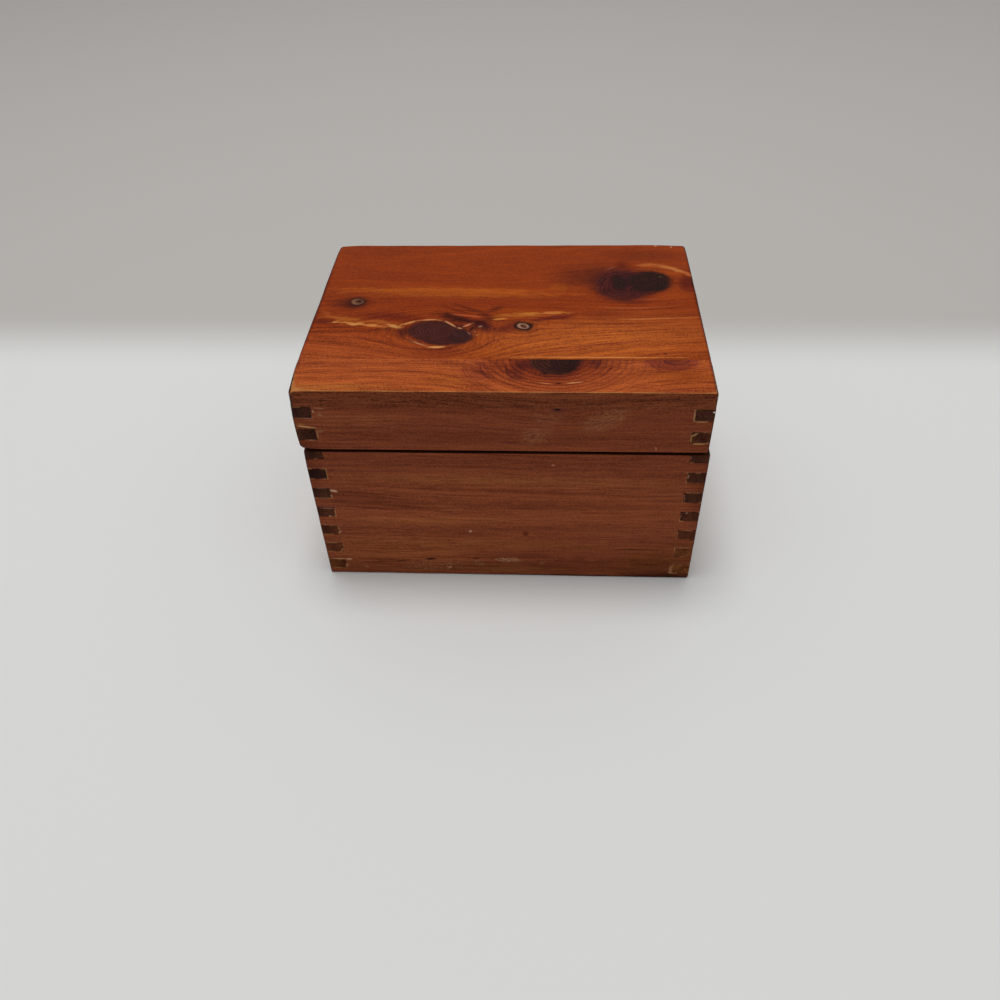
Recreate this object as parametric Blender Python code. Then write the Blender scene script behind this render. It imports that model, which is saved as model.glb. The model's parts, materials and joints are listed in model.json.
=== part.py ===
"""Recipe card box in red cedar with a hinged lid, for cards of 3 by 5 inches.

Metres, +Z up. The origin is the middle of the underside and the front faces -Y.

The box is made as its maker made it. Four wall boards are finger-jointed into one tall frame. A thin
panel is glued under the frame and two boards, glued edge to edge, are glued on top of it. Then a saw
cuts the lid off the closed box, and two butt hinges join it again at the back.
"""

import math

import bmesh
import bpy
from mathutils import Matrix, Vector

# The box, outside sizes and boards

WIDTH = 0.1461            # left to right
DEPTH = 0.1045            # front to back
WALL = 0.0071             # thickness of the wall boards
BASE_SIDE = 0.06235       # height of the base's walls
LID_SIDE = 0.0191         # height of the lid's walls
BOTTOM_PANEL = 0.00265    # thickness of the panel under the base
TOP_BOARD = 0.0065        # thickness of the boards on the lid
TOP_FRONT_DEPTH = 0.0197  # front to back, the narrow board at the front of the lid
FINGER_COUNT = 17         # fingers from the bottom of the uncut frame to its top
SAW_KERF = 0.0021         # wood lost where the lid was sawn off
RIM_GAP = 0.00115         # between the two rims when the box is shut
LID_SHIFT = 0.0009        # how far left of the base the lid hangs

# Clearances and eased edges

FIT = 0.0003              # between two pieces that lie against each other
CORNER_EASE = 0.0015      # radius of the four upright corners
EDGE_EASE = 0.0007        # radius of the other outer edges
CORNER_STEPS = 3
EDGE_STEPS = 2

# The hinges, brass butt hinges let into both rims

HINGE_LENGTH = 0.025
HINGE_INSET = 0.024       # from the end of the box to the end of the hinge
LEAF_WIDTH = 0.0078       # from the pin's axis to the leaf's far edge
LEAF_THICK = 0.0009
LEAF_GAP = 0.0004         # between the two leaves when the box is shut
BARREL_RADIUS = 0.0017
KNUCKLE_COUNT = 5
PIN_RADIUS = 0.0007
PIN_PLAY = 0.0002
PIN_EASE = 0.0002         # bevel at the pin's ends

# The screws, slotted and countersunk, two in each leaf

SCREW_LENGTH = 0.0075
SCREW_HEAD_RADIUS = 0.0015
SCREW_HEAD_HEIGHT = 0.0008
SCREW_SHANK_RADIUS = 0.0007
SCREW_TIP = 0.0016        # length of the pointed end
SLOT_WIDTH = 0.00045
SLOT_DEPTH = 0.00035
SCREW_PLACE_SHARE = 0.28  # of the hinge's length, from its middle to a screw
SLOT_TURN_DEGREES = 47    # each slot stopped this much further round than the last

# Values for building

OVERRUN = 0.002           # how far a board or a cutter runs past what trims it
MERGE = 0.00001
ROUND_SIDES = 20
ROUND_PROFILE_SHARE = 0.5   # a bevel of this profile is round
SMOOTH_DEGREES = 40

# Heights and places that follow from the sizes above

FRAME_LOW = BOTTOM_PANEL + FIT
RIM_LOW = FRAME_LOW + BASE_SIDE
RIM_HIGH = RIM_LOW + RIM_GAP
FRAME_HIGH = RIM_HIGH + LID_SIDE
TOP_LOW = FRAME_HIGH + FIT
HEIGHT = TOP_LOW + TOP_BOARD

SAW_TOP = BASE_SIDE + SAW_KERF       # the lid's rim, counted from the foot of the uncut frame
FRAME_HEIGHT = SAW_TOP + LID_SIDE
FINGER = FRAME_HEIGHT / FINGER_COUNT

BASE_X = LID_SHIFT / 2
LID_X = -LID_SHIFT / 2
AXIS_Y = DEPTH / 2 + BARREL_RADIUS + FIT
AXIS_Z = RIM_LOW + RIM_GAP / 2
HINGE_X = WIDTH / 2 - HINGE_INSET - HINGE_LENGTH / 2
HINGE_PLACES = {"left": -HINGE_X, "right": HINGE_X}
LEAF_LOW = LEAF_GAP / 2              # a leaf's inner face, from the pin's axis
LEAF_HIGH = LEAF_LOW + LEAF_THICK
LEAF_REACH = LEAF_WIDTH - BARREL_RADIUS - FIT   # how far a leaf lies on the rim
BORE_RADIUS = PIN_RADIUS + PIN_PLAY
SCREW_X = HINGE_LENGTH * SCREW_PLACE_SHARE
SCREW_Y = LEAF_REACH / 2 - LEAF_WIDTH           # from the pin's axis, mid-way along that reach
SCREW_HOLE_RADIUS = SCREW_SHANK_RADIUS + FIT
HEAD_SLOPE = (SCREW_HEAD_RADIUS - SCREW_SHANK_RADIUS) / SCREW_HEAD_HEIGHT

# Colours as the eye reads them, sRGB

CEDAR_FACE = "7A3A1F"
CEDAR_SIDE = "6E3520"
CEDAR_TOP = "96501F"
CEDAR_TOP_FRONT = "8F4A26"
CEDAR_BOTTOM = "8A4C2C"
BRASS = "B08D48"
CEDAR_ROUGHNESS = 0.45
BRASS_ROUGHNESS = 0.35


def linear(hex_colour):
    """The linear colour of an sRGB hex colour."""
    channels = [int(hex_colour[i:i + 2], 16) / 255 for i in (0, 2, 4)]
    return [c / 12.92 if c <= 0.04045 else ((c + 0.055) / 1.055) ** 2.4 for c in channels]


def dress(piece, colour, roughness, metallic=0.0):
    """Give a piece its own material."""
    material = bpy.data.materials.new(piece.name)
    material.use_nodes = True
    shader = material.node_tree.nodes["Principled BSDF"]
    shader.inputs["Base Color"].default_value = (*linear(colour), 1.0)
    shader.inputs["Roughness"].default_value = roughness
    shader.inputs["Metallic"].default_value = metallic
    material.diffuse_color = (*linear(colour), 1.0)
    if not piece.data.materials:
        piece.data.materials.append(None)
    piece.material_slots[0].link = "OBJECT"
    piece.material_slots[0].material = material


def clear_scene():
    for thing in list(bpy.data.objects):
        bpy.data.objects.remove(thing, do_unlink=True)


def new_mesh(name, bm):
    """Turn a bmesh into a mesh, its round faces shaded smooth."""
    bmesh.ops.recalc_face_normals(bm, faces=bm.faces)
    mesh = bpy.data.meshes.new(name)
    bm.to_mesh(mesh)
    bm.free()
    mesh.shade_smooth()
    mesh.set_sharp_from_angle(angle=math.radians(SMOOTH_DEGREES))
    return mesh


def place(name, mesh, location, parent=None, turn=0.0):
    """Stand a mesh in the scene at a world place, turned about the upright axis."""
    piece = bpy.data.objects.new(name, mesh)
    bpy.context.scene.collection.objects.link(piece)
    piece.location = location
    if parent:
        piece.parent = parent
        piece.location = Vector(location) - parent.location
    piece.rotation_euler = (0, 0, turn)
    return piece


def guide(name, bm, location=(0, 0, 0), parent=None):
    """A cutter, which isn't part of the box."""
    cutter = place(name, new_mesh(name, bm), location, parent)
    cutter.display_type = "WIRE"
    cutter.hide_render = True
    return cutter


def shape(piece, operation, cutter):
    """Cut, trim or join a piece with another one."""
    modifier = piece.modifiers.new(cutter.name, "BOOLEAN")
    modifier.operation = operation
    modifier.solver = "EXACT"
    modifier.object = cutter


def settled_mesh(piece, cutters):
    """The mesh of a piece once its modifiers have worked; the piece and its cutters go."""
    bpy.context.view_layer.update()
    evaluated = piece.evaluated_get(bpy.context.evaluated_depsgraph_get())
    mesh = bpy.data.meshes.new_from_object(evaluated)
    for thing in [piece, *cutters]:
        bpy.data.objects.remove(thing, do_unlink=True)
    return mesh


def add_block(bm, low, high):
    """Add a box between two corners."""
    low, high = Vector(low), Vector(high)
    size = Matrix.Diagonal((*(high - low), 1.0))
    bmesh.ops.create_cube(bm, size=1.0, matrix=Matrix.Translation((low + high) / 2) @ size)


def add_bar(bm, start, end, start_radius, end_radius):
    """Add a closed round bar or cone between two points."""
    start, end = Vector(start), Vector(end)
    along = end - start
    turn = along.to_track_quat("Z", "Y").to_matrix().to_4x4()
    bmesh.ops.create_cone(
        bm, cap_ends=True, cap_tris=False, segments=ROUND_SIDES, radius1=start_radius,
        radius2=end_radius, depth=along.length, matrix=Matrix.Translation((start + end) / 2) @ turn)


def outer_form(name, low, high, parent):
    """The eased outer form of the base or the lid, which trims its boards."""
    bm = bmesh.new()
    add_block(bm, low, high)
    upright = [e for e in bm.edges if abs(e.verts[0].co.z - e.verts[1].co.z) > MERGE]
    bmesh.ops.bevel(bm, geom=upright, offset=CORNER_EASE, offset_type="OFFSET", affect="EDGES",
                    segments=CORNER_STEPS, profile=ROUND_PROFILE_SHARE, material=-1)
    level = [e for e in bm.edges if abs(e.verts[0].co.z - e.verts[1].co.z) < MERGE]
    bmesh.ops.bevel(bm, geom=level, offset=EDGE_EASE, offset_type="OFFSET", affect="EDGES",
                    segments=EDGE_STEPS, profile=ROUND_PROFILE_SHARE, material=-1)
    return guide(name, bm, parent=parent)


def finger_edge(half_length, low, high, lowest_is_own):
    """The right-hand edge of a wall board, from its lower corner to its upper one.

    Heights count from the foot of the uncut frame, where the side walls have the lowest finger. The
    board's own fingers run past the corner, where the outer form trims them, and the others are
    notches as deep as the next wall is thick.
    """
    edge = []
    for number in range(FINGER_COUNT):
        own = (number % 2 == 0) == lowest_is_own
        side = half_length + OVERRUN if own else half_length - WALL - FIT
        slack = FIT / 2 if own else -FIT / 2
        start = max(low, number * FINGER + slack)
        end = min(high, (number + 1) * FINGER - slack)
        if end - start > FIT:
            edge += [(side, start), (side, end)]
    edge[0] = (edge[0][0], low)
    edge[-1] = (edge[-1][0], high)
    return edge


def wall_mesh(name, length, low, high, lowest_is_own):
    """One wall board, lying along X with its outer face at y = 0 and its inner one at WALL."""
    right = finger_edge(length / 2, low, high, lowest_is_own)
    left = [(-x, z) for x, z in reversed(right)]
    bm = bmesh.new()
    face = bm.faces.new([bm.verts.new((x, -OVERRUN, z)) for x, z in right + left])
    pulled = bmesh.ops.extrude_face_region(bm, geom=[face])["geom"]
    back = [v for v in pulled if isinstance(v, bmesh.types.BMVert)]
    bmesh.ops.translate(bm, vec=(0, WALL + OVERRUN, 0), verts=back)
    return new_mesh(name, bm)


def make_walls(body, middle_x, foot_z, low, high, outer, parent):
    """The four walls of the base or of the lid."""
    sides = {
        "front": ((middle_x, -DEPTH / 2, foot_z), 0, WIDTH, False),
        "right": ((middle_x + WIDTH / 2, 0, foot_z), math.pi / 2, DEPTH, True),
        "back": ((middle_x, DEPTH / 2, foot_z), math.pi, WIDTH, False),
        "left": ((middle_x - WIDTH / 2, 0, foot_z), -math.pi / 2, DEPTH, True),
    }
    walls = {}
    for side, (location, turn, length, has_lowest) in sides.items():
        name = f"{body}_{side}_wall"
        wall = place(name, wall_mesh(name, length, low, high, has_lowest), location, parent, turn)
        shape(wall, "INTERSECT", outer)
        dress(wall, CEDAR_SIDE if has_lowest else CEDAR_FACE, CEDAR_ROUGHNESS)
        walls[side] = wall
    return walls


def make_panel(name, low, high, colour, outer, parent):
    """A flat board that the outer form trims; low and high are its corners in the world."""
    low, high = Vector(low), Vector(high)
    middle = (low + high) / 2
    bm = bmesh.new()
    add_block(bm, low - middle, high - middle)
    panel = place(name, new_mesh(name, bm), middle, parent)
    shape(panel, "INTERSECT", outer)
    dress(panel, colour, CEDAR_ROUGHNESS)
    return panel


def seat_hinges(wall, body, up, parent):
    """Cut the mortises and the screw holes in a back wall; up is 1 for the lid, -1 for the base."""
    half = HINGE_LENGTH / 2 + FIT
    floor, mouth = up * (LEAF_HIGH + FIT), -up * OVERRUN
    hole_end = up * (LEAF_LOW + SCREW_LENGTH + FIT)
    mortises, holes = bmesh.new(), bmesh.new()
    for middle in HINGE_PLACES.values():
        add_block(mortises, (middle - half, -LEAF_WIDTH - FIT, min(floor, mouth)),
                  (middle + half, OVERRUN, max(floor, mouth)))
        for x in (middle - SCREW_X, middle + SCREW_X):
            add_bar(holes, (x, SCREW_Y, 0), (x, SCREW_Y, hole_end), SCREW_HOLE_RADIUS, SCREW_HOLE_RADIUS)
    axis = (0, AXIS_Y, AXIS_Z)
    shape(wall, "DIFFERENCE", guide(f"{body}_mortises", mortises, axis, parent))
    shape(wall, "DIFFERENCE", guide(f"{body}_screw_holes", holes, axis, parent))


def leaf_mesh(name, up, has_end_knuckles):
    """One hinge leaf about the pin's axis; up is 1 for the lid's leaf and -1 for the base's.

    It is a plate with a barrel along its edge. The knuckles of the other leaf are cut out of the
    barrel, then the pin's bore goes through it and two countersunk holes go through the plate.
    """
    half = HINGE_LENGTH / 2
    plate, barrel, notches, bore, countersinks, holes = (bmesh.new() for _ in range(6))
    low, high = sorted((up * LEAF_LOW, up * LEAF_HIGH))
    add_block(plate, (-half, -LEAF_WIDTH, low), (half, 0, high))
    add_bar(barrel, (-half, 0, 0), (half, 0, 0), BARREL_RADIUS, BARREL_RADIUS)
    knuckle = HINGE_LENGTH / KNUCKLE_COUNT
    clear = BARREL_RADIUS + FIT
    for number in range(KNUCKLE_COUNT):
        own = (number % 2 == 0) == has_end_knuckles
        if not own:
            start = number * knuckle - half
            before = FIT / 2 if number > 0 else OVERRUN
            after = FIT / 2 if number < KNUCKLE_COUNT - 1 else OVERRUN
            add_block(notches, (start - before, -clear, -clear), (start + knuckle + after, clear, clear))
    add_bar(bore, (-half - OVERRUN, 0, 0), (half + OVERRUN, 0, 0), BORE_RADIUS, BORE_RADIUS)
    mouth_radius = SCREW_HEAD_RADIUS + FIT + HEAD_SLOPE * FIT
    for x in (-SCREW_X, SCREW_X):
        add_bar(countersinks, (x, SCREW_Y, up * (LEAF_LOW - FIT)),
                (x, SCREW_Y, up * (LEAF_LOW + SCREW_HEAD_HEIGHT)), mouth_radius, SCREW_HOLE_RADIUS)
        add_bar(holes, (x, SCREW_Y, 0), (x, SCREW_Y, up * (LEAF_HIGH + OVERRUN)),
                SCREW_HOLE_RADIUS, SCREW_HOLE_RADIUS)

    leaf = place(name, new_mesh(name, plate), (0, 0, 0))
    steps = {"barrel": ("UNION", barrel), "notches": ("DIFFERENCE", notches),
             "bore": ("DIFFERENCE", bore), "countersinks": ("DIFFERENCE", countersinks),
             "screw_holes": ("DIFFERENCE", holes)}
    cutters = []
    for step, (operation, cutter) in steps.items():
        cutters.append(guide(f"{name}_{step}", cutter))
        shape(leaf, operation, cutters[-1])
    return settled_mesh(leaf, cutters)


def pin_mesh():
    """The pin that joins the two leaves, its ends flush with the outer knuckles."""
    half = HINGE_LENGTH / 2
    bm = bmesh.new()
    add_bar(bm, (-half, 0, 0), (half, 0, 0), PIN_RADIUS, PIN_RADIUS)
    rims = [e for e in bm.edges if abs(e.verts[0].co.x - e.verts[1].co.x) < MERGE]
    bmesh.ops.bevel(bm, geom=rims, offset=PIN_EASE, offset_type="OFFSET", affect="EDGES",
                    segments=1, profile=ROUND_PROFILE_SHARE, material=-1)
    return new_mesh("hinge_pin", bm)


def screw_mesh():
    """A countersunk screw, its head's face at z = 0 and its point below."""
    profile = [(0, 0), (SCREW_HEAD_RADIUS, 0), (SCREW_SHANK_RADIUS, -SCREW_HEAD_HEIGHT),
               (SCREW_SHANK_RADIUS, SCREW_TIP - SCREW_LENGTH), (0, -SCREW_LENGTH)]
    bm = bmesh.new()
    verts = [bm.verts.new((x, 0, z)) for x, z in profile]
    edges = [bm.edges.new(pair) for pair in zip(verts, verts[1:])]
    bmesh.ops.spin(bm, geom=verts + edges, cent=(0, 0, 0), axis=(0, 0, 1), dvec=(0, 0, 0),
                   angle=math.tau, steps=ROUND_SIDES, use_merge=True, use_duplicate=False)
    bmesh.ops.remove_doubles(bm, verts=bm.verts, dist=MERGE)
    screw = place("screw", new_mesh("screw", bm), (0, 0, 0))
    slot = bmesh.new()
    reach = SCREW_HEAD_RADIUS + OVERRUN
    add_block(slot, (-reach, -SLOT_WIDTH / 2, -SLOT_DEPTH), (reach, SLOT_WIDTH / 2, OVERRUN))
    cutter = guide("screw_slot", slot)
    shape(screw, "DIFFERENCE", cutter)
    return settled_mesh(screw, [cutter])


def make_hinges(lid):
    """Both hinges: a leaf on the base, a leaf on the lid, the pin and four screws each."""
    leaves = {"base": leaf_mesh("base_leaf", -1, True), "lid": leaf_mesh("lid_leaf", 1, False)}
    pin, screw = pin_mesh(), screw_mesh()
    count = 0
    for side, x in HINGE_PLACES.items():
        pieces = [place(f"hinge_{side}_pin", pin, (x, AXIS_Y, AXIS_Z))]
        for body, parent, up in (("base", None, -1), ("lid", lid, 1)):
            leaf = place(f"hinge_{side}_{body}_leaf", leaves[body], (x, AXIS_Y, AXIS_Z), parent)
            pieces.append(leaf)
            for letter, offset in (("a", -SCREW_X), ("b", SCREW_X)):
                name = f"hinge_{side}_{body}_screw_{letter}"
                location = (x + offset, AXIS_Y + SCREW_Y, AXIS_Z + up * LEAF_LOW)
                fastener = place(name, screw, location, parent, math.radians(SLOT_TURN_DEGREES * count))
                if up > 0:
                    fastener.rotation_euler.x = math.pi
                pieces.append(fastener)
                count += 1
        for piece in pieces:
            dress(piece, BRASS, BRASS_ROUGHNESS, metallic=1.0)


def make_base():
    """Four walls and the panel under them."""
    half_x, half_y = WIDTH / 2, DEPTH / 2
    outer = outer_form("base_outer_form", (BASE_X - half_x, -half_y, 0),
                       (BASE_X + half_x, half_y, RIM_LOW), None)
    walls = make_walls("base", BASE_X, FRAME_LOW, 0, BASE_SIDE + OVERRUN, outer, None)
    seat_hinges(walls["back"], "base", -1, None)
    make_panel("base_bottom_panel", (BASE_X - half_x - OVERRUN, -half_y - OVERRUN, -OVERRUN),
               (BASE_X + half_x + OVERRUN, half_y + OVERRUN, BOTTOM_PANEL), CEDAR_BOTTOM, outer, None)


def make_lid():
    """Four walls and the two boards on them, all hung from the hinge's axis."""
    lid = place("lid_pivot", None, (0, AXIS_Y, AXIS_Z))
    half_x, half_y = WIDTH / 2, DEPTH / 2
    outer = outer_form("lid_outer_form", (LID_X - half_x, -half_y, RIM_HIGH),
                       (LID_X + half_x, half_y, HEIGHT), lid)
    walls = make_walls("lid", LID_X, RIM_HIGH - SAW_TOP, SAW_TOP - OVERRUN, FRAME_HEIGHT, outer, lid)
    seat_hinges(walls["back"], "lid", 1, lid)
    glue_y = -half_y + TOP_FRONT_DEPTH
    left, right = LID_X - half_x - OVERRUN, LID_X + half_x + OVERRUN
    make_panel("lid_top_front_board", (left, -half_y - OVERRUN, TOP_LOW),
               (right, glue_y - FIT / 2, HEIGHT + OVERRUN), CEDAR_TOP_FRONT, outer, lid)
    make_panel("lid_top_rear_board", (left, glue_y + FIT / 2, TOP_LOW),
               (right, half_y + OVERRUN, HEIGHT + OVERRUN), CEDAR_TOP, outer, lid)
    return lid


clear_scene()
make_base()
make_hinges(make_lid())
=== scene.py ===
# %% [markdown]
# # A cedar box for recipe cards
#
# The box is a small piece of bench work. Four boards of red cedar are joined at the corners with
# square fingers, a thin panel closes the bottom, two boards glued edge to edge make the top, and a saw
# then cuts the lid off. This file dresses that box for its picture: it models each board again with
# sanded edges and tight joints, and it paints the wood with shader nodes.
#
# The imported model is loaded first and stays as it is. Every size below is read from it, or written
# once in millimetres.

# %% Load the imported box
import json
import math

import bmesh
import bpy
from mathutils import Matrix, Vector, noise


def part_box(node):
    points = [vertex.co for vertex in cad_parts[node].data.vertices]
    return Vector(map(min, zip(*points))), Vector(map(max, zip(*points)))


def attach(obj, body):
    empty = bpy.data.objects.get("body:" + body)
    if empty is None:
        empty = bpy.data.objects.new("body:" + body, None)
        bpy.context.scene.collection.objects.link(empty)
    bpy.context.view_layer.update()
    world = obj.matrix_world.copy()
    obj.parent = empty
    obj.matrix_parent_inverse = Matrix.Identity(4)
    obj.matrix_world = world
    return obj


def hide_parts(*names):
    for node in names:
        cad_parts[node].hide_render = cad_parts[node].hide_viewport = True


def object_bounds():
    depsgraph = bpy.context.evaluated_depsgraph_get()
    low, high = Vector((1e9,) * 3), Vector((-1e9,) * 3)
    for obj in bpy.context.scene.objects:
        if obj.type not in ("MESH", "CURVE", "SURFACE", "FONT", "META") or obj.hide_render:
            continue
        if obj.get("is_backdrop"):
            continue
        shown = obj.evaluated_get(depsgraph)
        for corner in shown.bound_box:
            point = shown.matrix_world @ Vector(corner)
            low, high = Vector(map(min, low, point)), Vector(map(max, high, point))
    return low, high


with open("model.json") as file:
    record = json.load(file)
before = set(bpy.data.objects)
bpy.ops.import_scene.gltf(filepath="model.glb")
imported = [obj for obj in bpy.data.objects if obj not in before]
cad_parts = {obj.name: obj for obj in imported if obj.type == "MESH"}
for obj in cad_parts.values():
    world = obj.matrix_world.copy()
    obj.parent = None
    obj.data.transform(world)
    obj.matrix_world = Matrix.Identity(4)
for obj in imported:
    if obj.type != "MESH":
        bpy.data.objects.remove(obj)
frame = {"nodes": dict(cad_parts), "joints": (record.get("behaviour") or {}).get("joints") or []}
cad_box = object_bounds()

print("the box is", [round(size * 1000, 2) for size in cad_box[1] - cad_box[0]], "mm")

# %% [markdown]
# ## The sizes that the boards share
#
# The lid and the base were one closed frame until the saw went through it. So the fingers are counted
# from the foot of that uncut frame, and the lid's fingers go on where the base's stop.

# %% Read the sizes of the base and the lid
MM = 0.001
FINGER_COUNT = 17
SAW_KERF = 2.1 * MM


def hull(*nodes):
    """The lowest and highest corners of several nodes together."""
    corners = [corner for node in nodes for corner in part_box(node)]
    low = Vector([min(c[i] for c in corners) for i in range(3)])
    high = Vector([max(c[i] for c in corners) for i in range(3)])
    return low, high


outer = {
    "base": hull("base_bottom_panel", "base_front_wall", "base_back_wall", "base_left_wall",
                 "base_right_wall"),
    "lid": hull("lid_top_rear_board", "lid_top_front_board", "lid_front_wall", "lid_left_wall",
                "lid_right_wall"),
}
base_walls, lid_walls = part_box("base_front_wall"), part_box("lid_front_wall")
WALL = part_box("base_left_wall")[1].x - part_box("base_left_wall")[0].x
base_side, lid_side = base_walls[1].z - base_walls[0].z, lid_walls[1].z - lid_walls[0].z
FINGER = (base_side + SAW_KERF + lid_side) / FINGER_COUNT
foot = {"base": base_walls[0].z, "lid": lid_walls[0].z - base_side - SAW_KERF}
axis_y, axis_z = frame["joints"][0]["pos_m"][1:]
print(f"walls {WALL / MM:.2f} mm, fingers {FINGER / MM:.2f} mm")
print(f"hinge axis at y {axis_y / MM:.2f} and z {axis_z / MM:.2f} mm")

# %% [markdown]
# ## The camera
#
# The photograph was taken from in front and above, and the camera leans a little. Its place and its
# three angles were solved from the six corners of the box that show. With these values four of them
# land within about half a pixel of their places, and the lid's two front corners within 2 pixels.

# %% Set the camera
CAMERA_PLACE = Vector((14.6, -287.0, 265.4)) * MM
CAMERA_BEARING = math.radians(-3.96)
CAMERA_DIP = math.radians(43.46)
CAMERA_ROLL = math.radians(-2.0)
SENSOR = 36.0
FOCAL_SHARE = 0.8623        # focal length as a share of the sensor's width

flat_ahead = math.cos(CAMERA_DIP)
ahead = Vector((math.sin(CAMERA_BEARING) * flat_ahead, math.cos(CAMERA_BEARING) * flat_ahead,
                -math.sin(CAMERA_DIP)))
level = ahead.cross(Vector((0, 0, 1))).normalized()
upright = level.cross(ahead)
right = math.cos(CAMERA_ROLL) * level + math.sin(CAMERA_ROLL) * upright
above = math.cos(CAMERA_ROLL) * upright - math.sin(CAMERA_ROLL) * level

camera = bpy.data.objects.new("camera", bpy.data.cameras.new("camera"))
camera.data.sensor_width = SENSOR
camera.data.lens = FOCAL_SHARE * SENSOR
camera.data.clip_start = 10 * MM
camera.matrix_world = Matrix.Translation(CAMERA_PLACE) @ Matrix((right, above, -ahead)).transposed().to_4x4()
bpy.context.scene.collection.objects.link(camera)
bpy.context.scene.camera = camera
bpy.context.scene.view_settings.view_transform = "Standard"
print(f"lens {camera.data.lens:.1f} mm")

# %% [markdown]
# ## Colours and nodes
#
# Colours are written as a screen shows them, so one function turns them into the linear values that
# Blender works with. Another function adds a shader node of any kind, sets its choices and feeds its
# inputs, so every call says which kind of node it adds. A Mix of two colours always has the same
# settings, which are written down once.

# %% Define the helpers for colours and nodes
MIX_A, MIX_B, MIX_OUT = 6, 7, 2      # where a Mix node keeps its two colours and its result
COLOUR_MIX = {"out": MIX_OUT, "data_type": "RGBA"}


def linear(hex_colour):
    """The linear colour of an sRGB hex colour."""
    channels = [int(hex_colour[i:i + 2], 16) / 255 for i in (0, 2, 4)]
    return (*[c / 12.92 if c <= 0.04045 else ((c + 0.055) / 1.055) ** 2.4 for c in channels], 1.0)


def add(tree, kind, inputs=(), out=0, stops=(), **settings):
    """Add a node with its settings, feed its inputs by name or in order, and return one output."""
    node = tree.nodes.new("ShaderNode" + kind)
    for setting, value in settings.items():
        setattr(node, setting, value)
    for number, (position, colour) in enumerate(stops):
        if number > 1:
            node.color_ramp.elements.new(position)
        node.color_ramp.elements[number].position = position
        node.color_ramp.elements[number].color = linear(colour)
    named = inputs.items() if isinstance(inputs, dict) else enumerate(inputs)
    for socket, value in named:
        if isinstance(value, bpy.types.NodeSocket):
            tree.links.new(value, node.inputs[socket])
        else:
            node.inputs[socket].default_value = value
    return node.outputs[out]


def new_material(name):
    """An empty material, its tree and its surface shader."""
    material = bpy.data.materials.new(name)
    material.use_nodes = True
    shader = material.node_tree.nodes["Principled BSDF"]
    return material, material.node_tree, shader


# %% [markdown]
# ## Floor and light
#
# The box stands on a pale sheet whose colour turns grey behind it, as painted shade where a backdrop
# would lie in shade. Its light comes from a big soft lamp almost straight above, a little behind, so the
# top is bright and the front lies in soft shade. The rest is an even grey sky. Together they give the top
# the light at which a colour shows as it is written.

# %% Lay the floor and hang the lamps
FLOOR_SIZE = 6.0
FLOOR_DROP = 0.05 * MM       # keeps the floor just under the box
PALE_END, GREY_START = 92 * MM, 150 * MM
SKY_SHARE = 0.48
LAMP_SHARE = 0.52
LAMP_PLACE = Vector((-70, 60, 1500)) * MM
LAMP_SIZE = 560 * MM

bm = bmesh.new()
bmesh.ops.create_grid(bm, x_segments=1, y_segments=1, size=FLOOR_SIZE / 2)
bmesh.ops.translate(bm, verts=bm.verts, vec=(0, 0, -FLOOR_DROP))
floor_mesh = bpy.data.meshes.new("floor")
bm.to_mesh(floor_mesh)
bm.free()
floor = bpy.data.objects.new("floor", floor_mesh)
bpy.context.scene.collection.objects.link(floor)
floor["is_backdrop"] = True

# Rolled paper without a glaze scatters the light evenly, so it has hardly any shine.
paper, tree, shader = new_material("matt_paper_sheet")
place = add(tree, "TexCoord", out="Object")
back = add(tree, "SeparateXYZ", [place], out="Y")
# The sheet is pale in front and grey behind the box: the grey is painted shade.
fade = add(tree, "MapRange", {"Value": back, "From Min": PALE_END, "From Max": GREY_START},
           interpolation_type="SMOOTHSTEP")
tone = add(tree, "Mix", {"Factor": fade, MIX_A: linear("DCDDDB"), MIX_B: linear("B8B5B1")}, **COLOUR_MIX)
tree.links.new(tone, shader.inputs["Base Color"])
shader.inputs["Roughness"].default_value = 0.9
shader.inputs["Specular IOR Level"].default_value = 0.2
floor.data.materials.append(paper)

world = bpy.data.worlds.new("grey_sky")
world.use_nodes = True
sky = world.node_tree.nodes["Background"]
sky.inputs["Color"].default_value = linear("FFFFFF")
sky.inputs["Strength"].default_value = SKY_SHARE
bpy.context.scene.world = world

target = (cad_box[0] + cad_box[1]) / 2
lamp_data = bpy.data.lights.new("soft_lamp", "AREA")
lamp_data.shape = "DISK"
lamp_data.size = LAMP_SIZE
lamp_data.energy = LAMP_SHARE * math.pi ** 2 * (LAMP_PLACE - target).length_squared
lamp = bpy.data.objects.new("soft_lamp", lamp_data)
lamp.matrix_world = Matrix.Translation(LAMP_PLACE) @ (
    target - LAMP_PLACE).to_track_quat("-Z", "Y").to_matrix().to_4x4()
bpy.context.scene.collection.objects.link(lamp)
print(f"lamp of {lamp_data.energy:.1f} watts at {(LAMP_PLACE - target).length:.2f} m")

# %% [markdown]
# ## How a board is cut
#
# A board begins as one flat sheet, the board's inner face. Cuts across it mark where the fingers are,
# the waste between the fingers is taken out, and the sheet is then pulled to its thickness. That is
# quicker than carving a block with booleans, and the faces stay square and even, so the edges can be
# sanded afterwards.

# %% Define the cuts that make a board
SEAM = 0.02 * MM             # half the gap in a glued joint
HEAL = 0.001 * MM


def cut(bm, axis, place):
    """Cut right through along a plane square to one axis."""
    square = Vector((0, 0, 0))
    square[axis] = 1
    bmesh.ops.bisect_plane(bm, geom=bm.verts[:] + bm.edges[:] + bm.faces[:], dist=HEAL,
                           plane_co=square * place, plane_no=square)


def sheet(low, high, thick, place):
    """A flat sheet between two corners, square to the axis of its thickness."""
    first, second = [axis for axis in range(3) if axis != thick]
    bm = bmesh.new()
    corners = []
    for u, v in ((low, low), (high, low), (high, high), (low, high)):
        corner = Vector((0, 0, 0))
        corner[first], corner[second], corner[thick] = u[first], v[second], place
        corners.append(bm.verts.new(corner))
    bm.faces.new(corners)
    return bm


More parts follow.
